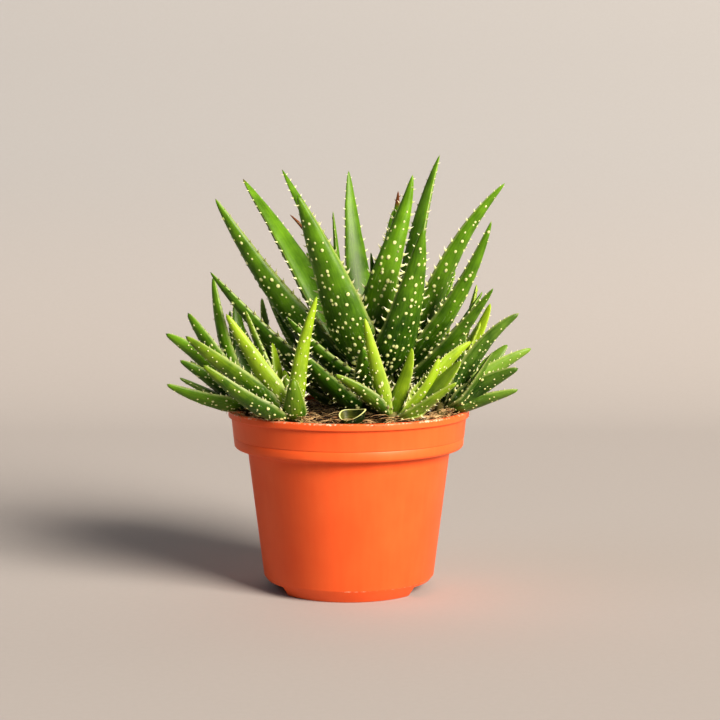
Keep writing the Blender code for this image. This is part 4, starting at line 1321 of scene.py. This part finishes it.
class ALOE_OT_stage(bpy.types.Operator):
    """Floor, wall, lights and camera"""
    bl_idname = "aloe.stage"
    bl_label = "Stage"

    def execute(self, context):
        settings = context.scene.aloe_stage
        bm = bmesh.new()
        corners = [bm.verts.new((-2.5, y, z)) for y, z in ((-2.0, 0.0), (0.9, 0.0), (1.5, 0.6), (1.5, 3.0))]
        edges = [bm.edges.new(pair) for pair in zip(corners, corners[1:])]
        swept = bmesh.ops.extrude_edge_only(bm, edges=edges)["geom"]
        bmesh.ops.translate(bm, verts=[item for item in swept if isinstance(item, bmesh.types.BMVert)], vec=(5, 0, 0))
        bends = [edge for edge in bm.edges if abs(edge.verts[0].co.y - edge.verts[1].co.y) < 0.01
                 and abs(edge.verts[0].co.z - edge.verts[1].co.z) < 0.01 and not edge.is_boundary]
        bmesh.ops.bevel(bm, geom=bends, offset=0.35, segments=12, profile=0.5, affect="EDGES", material=-1)
        bmesh.ops.recalc_face_normals(bm, faces=bm.faces)
        mesh = bpy.data.meshes.new("studio_sweep")
        bm.to_mesh(mesh)
        bm.free()
        sweep = bpy.data.objects.new("studio_sweep", mesh)
        context.scene.collection.objects.link(sweep)
        mesh.materials.append(studio_paper(settings))
        mesh.shade_smooth()
        soft_light("key_light", (6.95, -7.2, 5.6), 5.6, settings.key_power, linear("#fff3e2"))
        soft_light("fill_light", (-1.6, -0.6, 1.5), 1.2, settings.fill_power, linear("#e9f0ff"))
        world = bpy.data.worlds.new("studio_air")
        world.use_nodes = True
        context.scene.world = world
        world.node_tree.nodes["Background"].inputs["Color"].default_value = (*linear("#e4e6ea"), 1.0)
        world.node_tree.nodes["Background"].inputs["Strength"].default_value = 0.08
        photo_camera(context.scene)
        context.scene.view_settings.view_transform = "Standard"
        context.scene.view_settings.look = "Medium High Contrast"
        return {"FINISHED"}


def soft_light(name, place, size, power, colour):
    """A square soft box that faces the middle of the plant."""
    data = bpy.data.lights.new(name, "AREA")
    data.size = size
    data.energy = power
    data.color = colour
    light = bpy.data.objects.new(name, data)
    light.location = place
    light.rotation_euler = (Vector((0, 0, 0.12)) - Vector(place)).to_track_quat("-Z", "Y").to_euler()
    bpy.context.scene.collection.objects.link(light)


def photo_camera(scene):
    """The photograph's view: a little above the leaf tips, looking slightly down."""
    data = bpy.data.cameras.new("photo_camera")
    data.lens = 90.0
    data.sensor_width = 36.0
    camera = bpy.data.objects.new("photo_camera", data)
    camera.location = (0.00558, -0.892, 0.204)
    camera.rotation_euler = (math.radians(90 - 5.75), 0, 0)
    scene.collection.objects.link(camera)
    scene.camera = camera


class ALOE_PT_panel(bpy.types.Panel):
    """Sizes, colours and build buttons of the potted aloe"""
    bl_label = "Potted Aloe"
    bl_idname = "ALOE_PT_panel"
    bl_space_type = "VIEW_3D"
    bl_region_type = "UI"
    bl_category = "Aloe"

    def draw(self, context):
        layout = self.layout
        for group in ("aloe_pot", "aloe_soil", "aloe_leaves", "aloe_stage"):
            settings = getattr(context.scene, group)
            for name in settings.__annotations__:
                layout.prop(settings, name)
        for operator in OPERATORS:
            layout.operator(operator.bl_idname)


SETTINGS = {"aloe_pot": PotSettings, "aloe_soil": SoilSettings, "aloe_leaves": LeafSettings,
            "aloe_stage": StageSettings}
OPERATORS = (ALOE_OT_pot, ALOE_OT_soil, ALOE_OT_litter, ALOE_OT_stem, ALOE_OT_main_leaves,
             ALOE_OT_offsets, ALOE_OT_cut_leaf, ALOE_OT_stage)


def register():
    for item in (*SETTINGS.values(), *OPERATORS, ALOE_PT_panel):
        bpy.utils.register_class(item)
    for name, group in SETTINGS.items():
        setattr(bpy.types.Scene, name, PointerProperty(type=group))


def unregister():
    for name in SETTINGS:
        delattr(bpy.types.Scene, name)
    for item in (ALOE_PT_panel, *reversed(OPERATORS), *reversed(SETTINGS.values())):
        bpy.utils.unregister_class(item)


def main():
    register()
    bpy.ops.aloe.pot()
    bpy.ops.aloe.soil()
    bpy.ops.aloe.litter()
    bpy.ops.aloe.stem()
    bpy.ops.aloe.main_leaves()
    bpy.ops.aloe.offsets()
    bpy.ops.aloe.cut_leaf()
    bpy.ops.aloe.stage()


if __name__ == "__main__":
    main()
